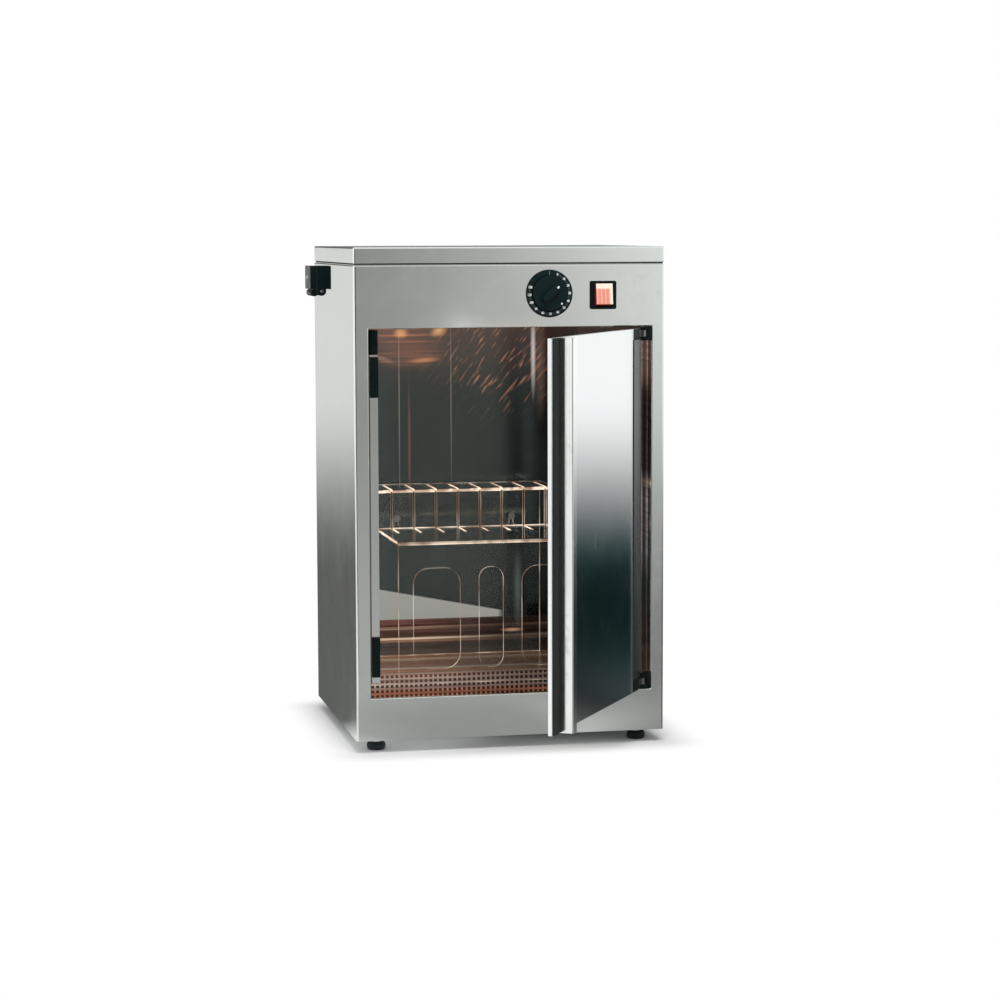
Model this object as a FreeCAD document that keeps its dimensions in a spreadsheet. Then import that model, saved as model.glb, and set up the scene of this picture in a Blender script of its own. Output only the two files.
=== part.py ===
import FreeCAD, Part

import math
import os
import re

# UV cabinet that stores and sterilises blades: a folded stainless case with a hinged door on the
# right, a clear rack with two treads inside, a germicidal lamp under the ceiling, and a timer and a
# lit rocker switch in the band above the door. Millimetres, +Z up.
#
# Pieces are drawn in the cabinet's frame: x from the left face, y from the front face to the back,
# z from the floor. At the end all of them are shifted together, so that the origin is the bottom
# centre of the box round the whole object with its door standing open.

doc = FreeCAD.newDocument("uv_cabinet")
sheet = doc.addObject("Spreadsheet::Sheet", "Sizes")

# Every driving size: name, value, what it is
SIZES = [
    ("body_width", 330, "outer wrap, left face to right face"),
    ("body_depth", 285, "front face to rear edge"),
    ("body_height", 494, "fascia, bottom edge to the shoulder under the lid"),
    ("foot_height", 13, "floor to the body's bottom edge"),
    ("skin", 1.0, "outer sheet"),
    ("liner_skin", 0.8, "chamber sheet"),
    ("bend_radius", 2.5, "outside of a fold in the outer sheet"),
    ("seat_gap", 0.3, "clearance between neighbouring fixed sheets"),
    ("rear_flange", 12, "inward fold at the wrap's rear edges"),
    ("lid_gap", 2.0, "dark joint between the shoulder and the lid's skirt"),
    ("lid_skirt", 16.5, "height of the lid"),
    ("lid_round", 1.6, "outside rounding of the lid's top edge"),
    ("joggle", 1.6, "how far the up-stand under the lid is set in"),
    ("left_jamb", 15.5, "left jamb"),
    ("right_jamb", 14.0, "right jamb"),
    ("opening_sill", 44.5, "sill above the body's bottom edge"),
    ("fascia_band", 65, "band above the door opening"),
    ("lip_depth", 5.0, "fold of the fascia round the opening"),
    ("lip_round", 1.2, "outside of the folds round the opening and at the shoulder"),
    ("back_space", 8, "behind the polished back wall, to the rear face"),
    ("ceiling_rise", 13.8, "chamber ceiling above the top of the opening"),
    ("ceiling_flange", 12, "up-stand round the ceiling tray"),
    ("floor_height", 12, "well floor above the body's bottom edge"),
    ("shelf_depth", 125, "rear shelf, perforated riser to the back wall"),
    ("step_flange", 10, "folds that seat and stiffen the step"),
    ("perf_hole", 3.4, "side of a square perforation"),
    ("perf_pitch", 5.4, "pitch of the perforations"),
    ("perf_rows", 5, "rows of perforations"),
    ("perf_margin", 3.4, "shelf top to the centre of the first row"),
    ("base_flange", 11, "up-stand of the base tray"),
    ("base_skin", 1.2, "base sheet"),
    ("strip_left", 17.3, "left edge of the closing strip"),
    ("strip_width", 8.3, "face of the closing strip"),
    ("strip_face", 5.4, "strip's front face from the front face"),
    ("strip_low", 15.5, "strip's lower end above the sill"),
    ("strip_high", 27, "strip's upper end below the opening's top"),
    ("magnet_length", 42, "magnet bar"),
    ("magnet_thick", 3.2, "magnet bar"),
    ("magnet_low", 6.5, "lower bar above the strip's lower end"),
    ("magnet_high", 2, "upper bar below the strip's upper end"),
    ("switch_width", 8.4, "door switch"),
    ("switch_height", 25, "door switch"),
    ("switch_depth", 15, "door switch"),
    ("plunger_radius", 1.5, "door switch plunger"),
    ("plunger_out", 5.2, "plunger in front of its switch with the door open as drawn"),
    ("plunger_in", 7.0, "length of the plunger inside its switch"),
    ("press_gap", 0.03, "radial clearance of pins and stems that are pressed in"),
    ("fit", 0.08, "radial clearance of pins and shafts that turn or slide"),
    ("door_turn", 57.6, "angle by which the door stands open"),
    ("hinge_inset", 9.6, "hinge axis from the right edge of the opening"),
    ("hinge_out", 2.6, "hinge axis in front of the front face"),
    ("door_side_gap", 1.4, "gap between the left jamb and the door's free edge"),
    ("door_thick", 6.0, "door, outer face to inner face"),
    ("door_under", 1.0, "gap between sill and door"),
    ("door_over", 1.8, "gap between door and the opening's top"),
    ("grip_flange", 30, "pull profile along the door's face"),
    ("grip_flange_thick", 4.5, "pull profile at the free edge"),
    ("grip_bar", 11, "raised bar of the pull profile, along the door"),
    ("grip_proud", 15, "raised bar in front of the door's outer face"),
    ("grip_round", 1.2, "rounding of the raised bar"),
    ("tongue_length", 7, "tongues of both profiles inside the door tray"),
    ("tongue_thick", 2.4, "tongues of both profiles"),
    ("insert_width", 15, "ribbed insert beside the raised bar"),
    ("insert_thick", 1.6, "ribbed insert, without its ribs"),
    ("insert_seat", 0.8, "recess of the insert in the pull profile"),
    ("rib_pitch", 3.6, "ribs of the insert"),
    ("rib_radius", 0.9, "ribs of the insert"),
    ("hinge_strip_start", 7.6, "hinge profile, near edge from the axis"),
    ("hinge_strip_width", 26, "hinge profile along the door's face"),
    ("hinge_strip_proud", 0.8, "hinge profile in front of the door's outer face"),
    ("cap_start", 14.5, "hinge cap, near edge from the axis"),
    ("cap_width", 19, "hinge cap along the door's face"),
    ("cap_height", 11, "upper hinge cap"),
    ("low_cap_height", 15, "lower hinge cap"),
    ("arm_height", 6.4, "hinge arm and its eye"),
    ("arm_thick", 3.0, "hinge arm"),
    ("eye_radius", 3.4, "eye of the arm and lugs of the block"),
    ("pin_radius", 2.0, "hinge pin"),
    ("block_height", 14.4, "upper hinge block on the jamb"),
    ("low_block_height", 16.4, "lower hinge block on the jamb"),
    ("block_depth", 9, "hinge block behind the front face"),
    ("rack_shift", 9.0, "rack's middle to the left of the opening's middle"),
    ("rack_width", 201.5, "rack"),
    ("rack_thick", 3.0, "clear sheet"),
    ("rack_bend", 4.0, "outside radius of the rack's bends"),
    ("rack_front", 64, "front face of the front leg"),
    ("tread_depth", 78, "rear tread, riser to the rear face of the rear leg"),
    ("rack_back_gap", 1.0, "rear leg to the back wall"),
    ("front_tread", 155.5, "top of the front tread above the sill"),
    ("rear_tread", 198.5, "top of the rear tread above the sill"),
    ("front_leg_low", 2.5, "lower edge of the front leg above the sill"),
    ("slot_width", 2.2, "blade slot"),
    ("slot_end", 10.5, "last slot to the rack's right end"),
    ("slot_count", 8, "blade slots"),
    ("slot_margin", 16, "rack's left end to the first slot"),
    ("slot_run", 45, "slots in front of the riser"),
    ("slot_stop", 18, "rear end of the slots to the rear leg"),
    ("window_low", 18.5, "windows' lower edge above the sill"),
    ("window_height", 108.5, "windows"),
    ("side_window", 51, "width of the outer windows"),
    ("mid_window", 26.5, "width of the middle window"),
    ("window_post", 20.5, "clear sheet between two windows"),
    ("window_round", 17, "corner of the outer windows"),
    ("rack_lift", 12, "travel that frees the rack from its studs"),
    ("stud_radius", 2.0, "rack stud"),
    ("stud_head", 4.0, "radius of the stud's head"),
    ("stud_spread", 134, "between the two studs"),
    ("stud_drop", 40, "studs below the top of the rear tread"),
    ("lamp_length", 212, "lamp over its caps"),
    ("lamp_radius", 7.75, "glass tube"),
    ("lamp_space", 43.5, "lamp's right end to the case's right face"),
    ("lamp_depth", 112, "lamp axis from the front face"),
    ("lamp_drop", 10, "lamp axis below the ceiling"),
    ("lamp_cap", 12, "metal cap at each end"),
    ("holder_width", 13, "lamp holder"),
    ("holder_depth", 20, "lamp holder"),
    ("holder_height", 18, "lamp holder"),
    ("lamp_pin", 6.0, "contact pins beyond the cap"),
    ("lamp_pin_gap", 1.6, "between cap and holder"),
    ("lamp_wall", 0.8, "glass tube"),
    ("reflector_depth", 46, "reflector over the lamp"),
    ("reflector_flange", 6, "its two folded edges"),
    ("dial_side", 124.2, "timer axis from the right face"),
    ("dial_drop", 30, "timer axis below the shoulder"),
    ("ring_radius", 24.8, "fixed scale ring"),
    ("ring_thick", 1.5, "fixed scale ring"),
    ("ring_bore", 6.5, "hole in the scale ring"),
    ("knob_radius", 18.2, "turning disc of the knob"),
    ("knob_disc", 3.0, "its thickness"),
    ("grip_length", 23, "finger bar of the knob"),
    ("grip_width", 8.5, "finger bar of the knob"),
    ("grip_height", 9, "finger bar in front of the disc"),
    ("knob_turn", 45.5, "knob stands at the figure 10, clockwise from the top"),
    ("shaft_radius", 3.0, "timer shaft"),
    ("timer_size", 40, "timer movement, width and height"),
    ("timer_depth", 34, "timer movement"),
    ("bush_radius", 4.8, "threaded bush round the timer shaft"),
    ("rocker_side", 66.6, "rocker switch centre from the right face"),
    ("rocker_drop", 32, "rocker switch centre below the shoulder"),
    ("bezel_width", 28, "rocker bezel"),
    ("bezel_height", 29.5, "rocker bezel"),
    ("bezel_thick", 2.0, "rocker bezel"),
    ("rocker_width", 18, "rocker"),
    ("rocker_height", 22, "rocker"),
    ("rocker_proud", 5.5, "rocker in front of the bezel"),
    ("rocker_turn", 7, "rocker tilt, upper half pressed"),
    ("rocker_pivot", 3, "rocker axis behind the front face"),
    ("housing_depth", 20, "rocker housing behind the front face"),
    ("housing_wall", 1.6, "rocker housing"),
    ("rocker_play", 0.4, "beside the rocker in its housing"),
    ("rocker_swing", 1.0, "above and below the rocker in its housing"),
    ("inlet_front", 156, "inlet box from the front face"),
    ("inlet_depth", 40, "inlet box, front to back"),
    ("inlet_height", 25, "inlet box"),
    ("inlet_top", 2.2, "inlet box below the shoulder"),
    ("inlet_base", 15.4, "inlet box, part that is fixed to the side"),
    ("inlet_cap", 7.4, "inlet box, outer cover"),
    ("inlet_wall", 2.2, "inlet box"),
    ("barrel_radius", 5.0, "cable barrel"),
    ("barrel_bore", 3.5, "cable entry"),
    ("barrel_length", 39, "cable barrel"),
    ("screw_barrel", 3.8, "radius of the clamp screw's barrel"),
    ("foot_inset", 24, "foot axis from the side and front or rear faces"),
    ("pad_radius", 10, "foot pad"),
    ("pad_height", 8.4, "foot pad"),
    ("stem_radius", 3.0, "foot stem"),
    ("collar_radius", 5.0, "bright collar on the stem"),
    ("collar_height", 2.2, "bright collar on the stem"),
    ("nut_across", 10, "foot nut across flats"),
    ("nut_height", 5, "foot nut"),
    ("screw_radius", 2.0, "shank of the case screws"),
    ("screw_head", 3.8, "head of the case screws"),
    ("screw_head_height", 2.0, "head of the case screws"),
    ("ballast_length", 120, "lamp ballast"),
    ("ballast_width", 41, "lamp ballast"),
    ("ballast_height", 28, "lamp ballast"),
    ("starter_radius", 10.75, "starter can"),
    ("starter_length", 38, "starter can"),
    ("terminal_length", 58, "terminal block"),
    ("terminal_width", 20, "terminal block"),
    ("terminal_height", 16, "terminal block"),
]

for row, (alias, value, note) in enumerate(SIZES, start=1):
    sheet.set(f"A{row}", alias)
    sheet.set(f"B{row}", str(value))
    sheet.set(f"C{row}", note)
    sheet.setAlias(f"B{row}", alias)

# The shift that puts the origin under the middle of the whole object, worked out at the end
SHIFT = len(SIZES) + 1
for row, alias in ((SHIFT, "origin_x"), (SHIFT + 1, "origin_y")):
    sheet.set(f"A{row}", alias)
    sheet.set(f"B{row}", "0")
    sheet.setAlias(f"B{row}", alias)
doc.recompute()

ALIASES = {alias for alias, _, _ in SIZES} | {"origin_x", "origin_y"}


def bound(text):
    """Writes each size's name in an expression as a reference to its cell."""
    return re.sub(r"[a-z_]+", lambda word: "Sizes." + word[0] if word[0] in ALIASES else word[0], text)


readout = doc.addObject("Spreadsheet::Sheet", "Readout")
known = {}


def number(text):
    """The present value of an expression over the sizes, read back from a cell of its own."""
    if text not in known:
        readout.set("A1", "=" + bound(text))
        readout.recompute()
        known[text] = float(readout.get("A1"))
    return known[text]


X, Y, Z = FreeCAD.Vector(1, 0, 0), FreeCAD.Vector(0, 1, 0), FreeCAD.Vector(0, 0, 1)
TURNS = {"x": FreeCAD.Rotation(Y, 90), "y": FreeCAD.Rotation(X, -90), "z": FreeCAD.Rotation()}
pieces = []


def place(thing, x="0", y="0", z="0", axis=Z, angle="0"):
    """Carries a piece to its place, turned about one axis, with the shift of the origin."""
    thing.Placement = FreeCAD.Placement(FreeCAD.Vector(), FreeCAD.Rotation(axis, 1))
    thing.setExpression("Placement.Rotation.Angle", bound(angle))
    thing.setExpression("Placement.Base.x", bound(f"origin_x + {x}"))
    thing.setExpression("Placement.Base.y", bound(f"origin_y + {y}"))
    thing.setExpression("Placement.Base.z", bound(z))


def piece(label, **where):
    """A new empty body that becomes one node."""
    body = doc.addObject("PartDesign::Body", label)
    body.Label = label
    place(body, **where)
    pieces.append(body)
    return body


def group(label, solids, **where):
    """One node made of ready solids, such as a set of like fasteners."""
    thing = doc.addObject("Part::Feature", label)
    thing.Label = label
    thing.Shape = Part.makeCompound(solids) if len(solids) > 1 else solids[0]
    place(thing, **where)
    pieces.append(thing)
    return thing


def block(body, x, y, z, length, width, height, cut=False):
    """Adds or cuts a box from its low corner and its three sizes."""
    kind = "PartDesign::SubtractiveBox" if cut else "PartDesign::AdditiveBox"
    box = body.newObject(kind, body.Label + "_box")
    for name, text in (("Length", length), ("Width", width), ("Height", height)):
        box.setExpression(name, bound(text))
    for name, text in (("x", x), ("y", y), ("z", z)):
        box.setExpression("Placement.Base." + name, bound(text))
    return box


def rod(body, x, y, z, radius, length, along="z", cut=False):
    """Adds or cuts a cylinder that runs from a point along one axis."""
    kind = "PartDesign::SubtractiveCylinder" if cut else "PartDesign::AdditiveCylinder"
    bar = body.newObject(kind, body.Label + "_rod")
    bar.Placement = FreeCAD.Placement(FreeCAD.Vector(), TURNS[along])
    bar.setExpression("Radius", bound(radius))
    bar.setExpression("Height", bound(length))
    for name, text in (("x", x), ("y", y), ("z", z)):
        bar.setExpression("Placement.Base." + name, bound(text))
    return bar


def soften(body, radius, wanted):
    """Rounds the straight edges that the test picks, by their ends in the body's own frame."""
    doc.recompute()
    base = body.Tip
    names = []
    for index, edge in enumerate(base.Shape.Edges, start=1):
        if edge.Curve.TypeId == "Part::GeomLine":
            start, end = edge.Vertexes[0].Point, edge.Vertexes[-1].Point
            if wanted(start, end):
                names.append(f"Edge{index}")
    fillet = body.newObject("PartDesign::Fillet", body.Label + "_round")
    fillet.Base = (base, names)
    fillet.setExpression("Radius", bound(radius))


def along(axis, start, end):
    """True for an edge parallel to an axis."""
    step = end - start
    return abs(abs(step.dot(axis)) - step.Length) < 1e-6


def near(value, *texts):
    """True where a coordinate equals one of the expressions."""
    return any(abs(value - number(text)) < 1e-4 for text in texts)


def edges(axis, xs=(), ys=(), zs=()):
    """A test that picks the edges along an axis at any of the given places."""
    def wanted(start, end):
        at_place = all(near(value, *texts) for value, texts in zip(start, (xs, ys, zs)) if texts)
        return at_place and along(axis, start, end)
    return wanted


def either(*tests):
    """A test that picks what any of the given tests picks."""
    return lambda start, end: any(test(start, end) for test in tests)


def box_solid(x, y, z, length, width, height):
    """A loose box from expressions, for grouped pieces."""
    corner = FreeCAD.Vector(number(x), number(y), number(z))
    return Part.makeBox(number(length), number(width), number(height), corner)


def rod_solid(x, y, z, radius, length, axis=Z):
    """A loose cylinder from expressions, for grouped pieces."""
    foot = FreeCAD.Vector(number(x), number(y), number(z))
    return Part.makeCylinder(number(radius), number(length), foot, axis)


# Heights and places that several pieces share
shoulder = "(foot_height + body_height)"
skirt_low = f"({shoulder} + lid_gap)"
lid_top = f"({skirt_low} + lid_skirt)"
sill = "(foot_height + opening_sill)"
opening_top = f"({shoulder} - fascia_band)"
opening_right = "(body_width - right_jamb)"
opening_width = f"({opening_right} - left_jamb)"
opening_height = f"({opening_top} - {sill})"
chamber_left = "(left_jamb - skin - seat_gap)"
chamber_right = f"({opening_right} + skin + seat_gap)"
chamber_width = f"({chamber_right} - {chamber_left})"
chamber_back = "(body_depth - back_space)"
ceiling = f"({opening_top} + ceiling_rise)"
floor_low = "(foot_height + floor_height)"
inside = "(skin + seat_gap)"
liner_front = "(skin + seat_gap + base_skin + seat_gap)"
tray_depth = "(body_depth - 3 * skin - 3 * seat_gap)"
upstand = "(lid_gap + lid_skirt - skin - seat_gap)"


# Outer wrap: one sheet folded round the front and both sides, with the opening's edges folded in
# and a narrow up-stand on top that the lid slips over
wrap = piece("outer_wrap")
block(wrap, "0", "0", "foot_height", "body_width", "body_depth", "body_height")
soften(wrap, "bend_radius", edges(Z, ys=["0"]))
block(wrap, "joggle", "joggle", f"{shoulder} - skin", "body_width - 2 * joggle",
      "body_depth - 2 * joggle", f"skin + {upstand}")
block(wrap, "skin", "skin", "0", "body_width - 2 * skin", "body_depth",
      f"{shoulder} - skin", cut=True)
soften(wrap, "bend_radius - skin", edges(Z, xs=["skin", "body_width - skin"], ys=["skin"]))
block(wrap, "joggle + skin", "joggle + skin", f"{shoulder} - 2 * skin",
      "body_width - 2 * joggle - 2 * skin", "body_depth", f"{upstand} + 3 * skin", cut=True)
block(wrap, "left_jamb - skin", "skin / 2", f"{sill} - skin", f"{opening_width} + 2 * skin",
      "lip_depth - skin / 2", f"{opening_height} + 2 * skin")
block(wrap, "left_jamb", "-skin", sill, opening_width, "lip_depth + 2 * skin",
      opening_height, cut=True)
soften(wrap, "lip_round", either(edges(X, ys=["0"], zs=[sill, opening_top]),
                                 edges(Z, xs=["left_jamb", opening_right], ys=["0"]),
                                 edges(X, ys=["0"], zs=[shoulder])))
for x in ("skin / 2", "body_width - skin / 2 - rear_flange"):
    block(wrap, x, "body_depth - 2 * skin - seat_gap", "foot_height", "rear_flange", "skin",
          "body_height - 2 * skin")

dial_x = "(body_width - dial_side)"
dial_z = f"({shoulder} - dial_drop)"
rocker_x = "(body_width - rocker_side)"
rocker_z = f"({shoulder} - rocker_drop)"
cavity_width = "(rocker_width + 2 * rocker_play)"
cavity_height = "(rocker_height + 2 * rocker_swing)"
housing_width = f"({cavity_width} + 2 * housing_wall)"
housing_height = f"({cavity_height} + 2 * housing_wall)"
rod(wrap, dial_x, "-skin", dial_z, "bush_radius + seat_gap", "3 * skin", "y", cut=True)
block(wrap, f"{rocker_x} - {housing_width} / 2 - seat_gap", "-skin",
      f"{rocker_z} - {housing_height} / 2 - seat_gap", f"{housing_width} + 2 * seat_gap", "3 * skin",
      f"{housing_height} + 2 * seat_gap", cut=True)

inlet_low = f"({shoulder} - inlet_top - inlet_height)"
rod(wrap, "-skin", "inlet_front + inlet_depth / 2", f"{inlet_low} + inlet_height / 2", "barrel_radius",
    "3 * skin", "x", cut=True)

# Six screws hold the rear panel to the wrap's rear flanges
screw_side = "(skin + rear_flange / 2)"
SCREW_XS = (screw_side, f"(body_width - {screw_side})")
SCREW_ZS = ("(foot_height + body_height / 13)", "(foot_height + body_height / 2)",
            f"({ceiling} + ceiling_flange + 2 * screw_radius)")
screw_hole = "(screw_radius + fit)"
for x in SCREW_XS:
    for z in SCREW_ZS:
        rod(wrap, x, "body_depth - 4 * skin", z, screw_hole, "5 * skin", "y", cut=True)

# Lid: a shallow folded tray over the up-stand, with two screws through its rear skirt
lid = piece("lid")
block(lid, "0", "0", skirt_low, "body_width", "body_depth", "lid_skirt")
soften(lid, "bend_radius", edges(Z))
soften(lid, "lid_round", lambda a, b: near(a.z, lid_top) and near(b.z, lid_top))
block(lid, "skin", "skin", f"{skirt_low} - skin", "body_width - 2 * skin", "body_depth - 2 * skin",
      "lid_skirt", cut=True)
soften(lid, "bend_radius - skin",
       edges(Z, xs=["skin", "body_width - skin"], ys=["skin", "body_depth - skin"]))
LID_XS = ("(body_width / 4)", "(body_width * 3 / 4)")
lid_screw_z = f"({skirt_low} + lid_skirt / 2)"
for x in LID_XS:
    rod(lid, x, "body_depth - 3 * skin", lid_screw_z, screw_hole, "4 * skin", "y", cut=True)

# Rear panel: flat, between the wrap's sides, with the same up-stand under the lid
rear = piece("rear_panel")
neck = "(joggle + skin + seat_gap)"
neck_width = f"(body_width - 2 * {neck})"
block(rear, inside, "body_depth - skin", "foot_height", f"body_width - 2 * {inside}", "skin",
      "body_height - skin - seat_gap")
block(rear, neck, "body_depth - skin", f"{shoulder} - 2 * skin - seat_gap", neck_width, "skin",
      "2 * skin + seat_gap")
block(rear, neck, "body_depth - joggle - skin", f"{shoulder} - skin", neck_width, "joggle + skin", "skin")
block(rear, neck, "body_depth - joggle - skin", f"{shoulder} - skin", neck_width, "skin",
      f"skin + {upstand}")
for x in SCREW_XS:
    for z in SCREW_ZS:
        rod(rear, x, "body_depth - 2 * skin", z, screw_hole, "3 * skin", "y", cut=True)
for x in LID_XS:
    rod(rear, x, "body_depth - joggle - 2 * skin", lid_screw_z, screw_hole, "3 * skin", "y", cut=True)


def case_screw(x, z, depth):
    """A pan-head screw whose head lies on the back of the case."""
    shank = rod_solid(x, f"body_depth - {depth}", z, "screw_radius", depth, Y)
    head = rod_solid(x, "body_depth", z, "screw_head", "screw_head_height", Y)
    rounded = head.makeFillet(number("screw_head_height") / 2, [head.Edges[0]])
    return shank.fuse(rounded).removeSplitter()


group("rear_screws", [case_screw(x, z, "rear_flange / 2") for x in SCREW_XS for z in SCREW_ZS])
group("lid_screws", [case_screw(x, lid_screw_z, "rear_flange / 2") for x in LID_XS])

# Base: a folded tray between the wrap's sides, that carries the four feet
base = piece("base_panel")
block(base, inside, inside, "foot_height", f"body_width - 2 * {inside}", tray_depth,
      "base_skin + base_flange")
soften(base, "bend_radius - skin", edges(Z, ys=[inside]))
block(base, f"{inside} + base_skin", f"{inside} + base_skin", "foot_height + base_skin",
      f"body_width - 2 * {inside} - 2 * base_skin", f"{tray_depth} - 2 * base_skin",
      "2 * base_flange", cut=True)
FOOT_PLACES = {
    "front_left": ("foot_inset", "foot_inset"),
    "front_right": ("(body_width - foot_inset)", "foot_inset"),
    "rear_left": ("foot_inset", "(body_depth - foot_inset)"),
    "rear_right": ("(body_width - foot_inset)", "(body_depth - foot_inset)"),
}
for x, y in FOOT_PLACES.values():
    rod(base, x, y, "foot_height - base_skin", "stem_radius + seat_gap", "3 * base_skin", "z", cut=True)

# Feet: a pad moulded on a threaded stem that turns in a nut on the base
base_top = "(foot_height + base_skin)"
for name, (x, y) in FOOT_PLACES.items():
    pad = piece(f"foot_pad_{name}", x=x, y=y)
    rod(pad, "0", "0", "0", "pad_radius", "pad_height")
    rod(pad, "0", "0", "pad_height / 2", "stem_radius + press_gap", "pad_height", "z", cut=True)
    stem = piece(f"foot_stem_{name}", x=x, y=y)
    rod(stem, "0", "0", "pad_height / 2", "stem_radius",
        f"{base_top} + nut_height + stem_radius - pad_height / 2")
    rod(stem, "0", "0", "pad_height", "collar_radius", "collar_height")


def nut(x, y):
    """A hexagon nut on the base, bored for the stem."""
    corner = number("nut_across") / math.sqrt(3)
    centre = FreeCAD.Vector(number(x), number(y), number(base_top))
    turns = [math.radians(60 * count) for count in range(7)]
    ring = [centre + FreeCAD.Vector(corner * math.cos(turn), corner * math.sin(turn), 0) for turn in turns]
    hexagon = Part.Face(Part.makePolygon(ring)).extrude(Z * number("nut_height"))
    return hexagon.cut(rod_solid(x, y, base_top, "stem_radius + fit", "nut_height"))


group("foot_nuts", [nut(x, y) for x, y in FOOT_PLACES.values()])

# Chamber walls: one polished sheet folded round the left side, the back and the right side
liner = piece("chamber_liner")
liner_low = f"({base_top} + seat_gap)"
liner_height = f"({ceiling} - seat_gap - {liner_low})"
block(liner, f"{chamber_left} - liner_skin", liner_front, liner_low,
      f"{chamber_width} + 2 * liner_skin", f"{chamber_back} + liner_skin - {liner_front}", liner_height)
block(liner, chamber_left, f"{liner_front} - skin", f"{liner_low} - skin", chamber_width,
      f"{chamber_back} - {liner_front} + skin", f"{liner_height} + 2 * skin", cut=True)

# Ceiling of the chamber: a tray that shuts off the compartment of the electric parts
top_tray = piece("chamber_ceiling")
block(top_tray, inside, inside, ceiling, f"body_width - 2 * {inside}", tray_depth, "ceiling_flange")
soften(top_tray, "bend_radius - skin", edges(Z, ys=[inside]))
block(top_tray, f"{inside} + liner_skin", "0", f"{ceiling} + liner_skin",
      f"body_width - 2 * {inside} - 2 * liner_skin", f"{inside} + {tray_depth} - liner_skin",
      "2 * ceiling_flange", cut=True)

# Floor of the well, folded up behind the sill
well = piece("chamber_floor")
well_width = f"({chamber_width} - 2 * seat_gap)"
block(well, f"{chamber_left} + seat_gap", liner_front, floor_low, well_width,
      f"{chamber_back} - seat_gap - {liner_front}", "liner_skin")
block(well, f"{chamber_left} + seat_gap", liner_front, floor_low, well_width, "liner_skin",
      f"{sill} - skin - seat_gap - {floor_low}")

step_front = f"({chamber_back} - shelf_depth)"


def perforated_step():
    """The riser is one face with a grid of square holes, made solid, and joined to its three folds."""
    step_left = f"({chamber_left} + seat_gap)"
    step_low = f"({floor_low} + liner_skin + seat_gap)"
    left = number(step_left)
    width = number(well_width)
    front = number(step_front)
    thick = number("liner_skin")
    low = number(step_low)
    top = number(sill)
    half = number("perf_hole") / 2
    pitch = number("perf_pitch")

    def loop(x0, x1, z0, z1):
        """A closed rectangle in the plane of the riser."""
        corners = ((x0, z0), (x1, z0), (x1, z1), (x0, z1), (x0, z0))
        return Part.makePolygon([FreeCAD.Vector(x, front, z) for x, z in corners])

    columns = int((width - pitch) / pitch)
    first = left + (width - (columns - 1) * pitch) / 2
    outer = loop(left, left + width, low, top)
    holes = []
    for row in range(int(number("perf_rows"))):
        z = top - number("perf_margin") - row * pitch
        for column in range(columns):
            x = first + column * pitch
            holes.append(loop(x - half, x + half, z - half, z + half))
    riser = Part.makeFace([outer] + holes, "Part::FaceMakerBullseye").extrude(Y * thick)
    depth = f"{chamber_back} - seat_gap - {step_front}"
    shelf = box_solid(step_left, step_front, f"{sill} - liner_skin", well_width, depth, "liner_skin")
    foot = box_solid(step_left, step_front, step_low, well_width, "step_flange", "liner_skin")
    back = box_solid(step_left, f"{chamber_back} - seat_gap - liner_skin", f"{sill} - step_flange",
                     well_width, "liner_skin", "step_flange")
    return riser.fuse([shelf, foot, back]).removeSplitter()


# Step at the back of the well: a perforated riser that lets air through, and the rear shelf
group("perforated_step", [perforated_step()])

# Closing strip on the left jamb: a Z-shaped fold that carries the magnets
strip = piece("door_stop_strip")
strip_bottom = f"({sill} + strip_low)"
strip_length = f"({opening_height} - strip_low - strip_high)"
strip_top = f"({strip_bottom} + {strip_length})"
strip_reach = "(2 * lip_depth)"
block(strip, "strip_left", "strip_face", strip_bottom, "strip_width", "skin", strip_length)
block(strip, "strip_left", "strip_face", strip_bottom, "skin", strip_reach, strip_length)
block(strip, f"{chamber_left} + seat_gap", f"strip_face + {strip_reach} - skin", strip_bottom,
      f"strip_left + skin - {chamber_left} - seat_gap", "skin", strip_length)

MAGNETS = {"top": f"{strip_top} - magnet_high - magnet_length", "bottom": f"{strip_bottom} + magnet_low"}
for name, z in MAGNETS.items():
    magnet = piece(f"magnet_bar_{name}")
    block(magnet, "strip_left", "strip_face - magnet_thick", z, "strip_width", "magnet_thick",
          "magnet_length")

# Door switch over the strip, and its plunger
switch_low = f"({strip_top} + seat_gap)"
plunger_x = "(strip_left + switch_width - plunger_radius - skin / 2)"
plunger_z = f"({switch_low} + switch_height * 0.55)"
switch = piece("door_switch")
block(switch, "strip_left", "strip_face", switch_low, "switch_width", "switch_depth", "switch_height")
block(switch, f"{chamber_left} + seat_gap", "strip_face + switch_depth - 4 * skin", switch_low,
      f"strip_left - {chamber_left}", "4 * skin", "switch_height")
rod(switch, plunger_x, "strip_face - skin", plunger_z, "plunger_radius + fit", "plunger_in + 5 * skin",
    "y", cut=True)
plunger = piece("door_switch_plunger")
rod(plunger, plunger_x, "strip_face - plunger_out", plunger_z, "plunger_radius",
    "plunger_out + plunger_in", "y")

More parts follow.
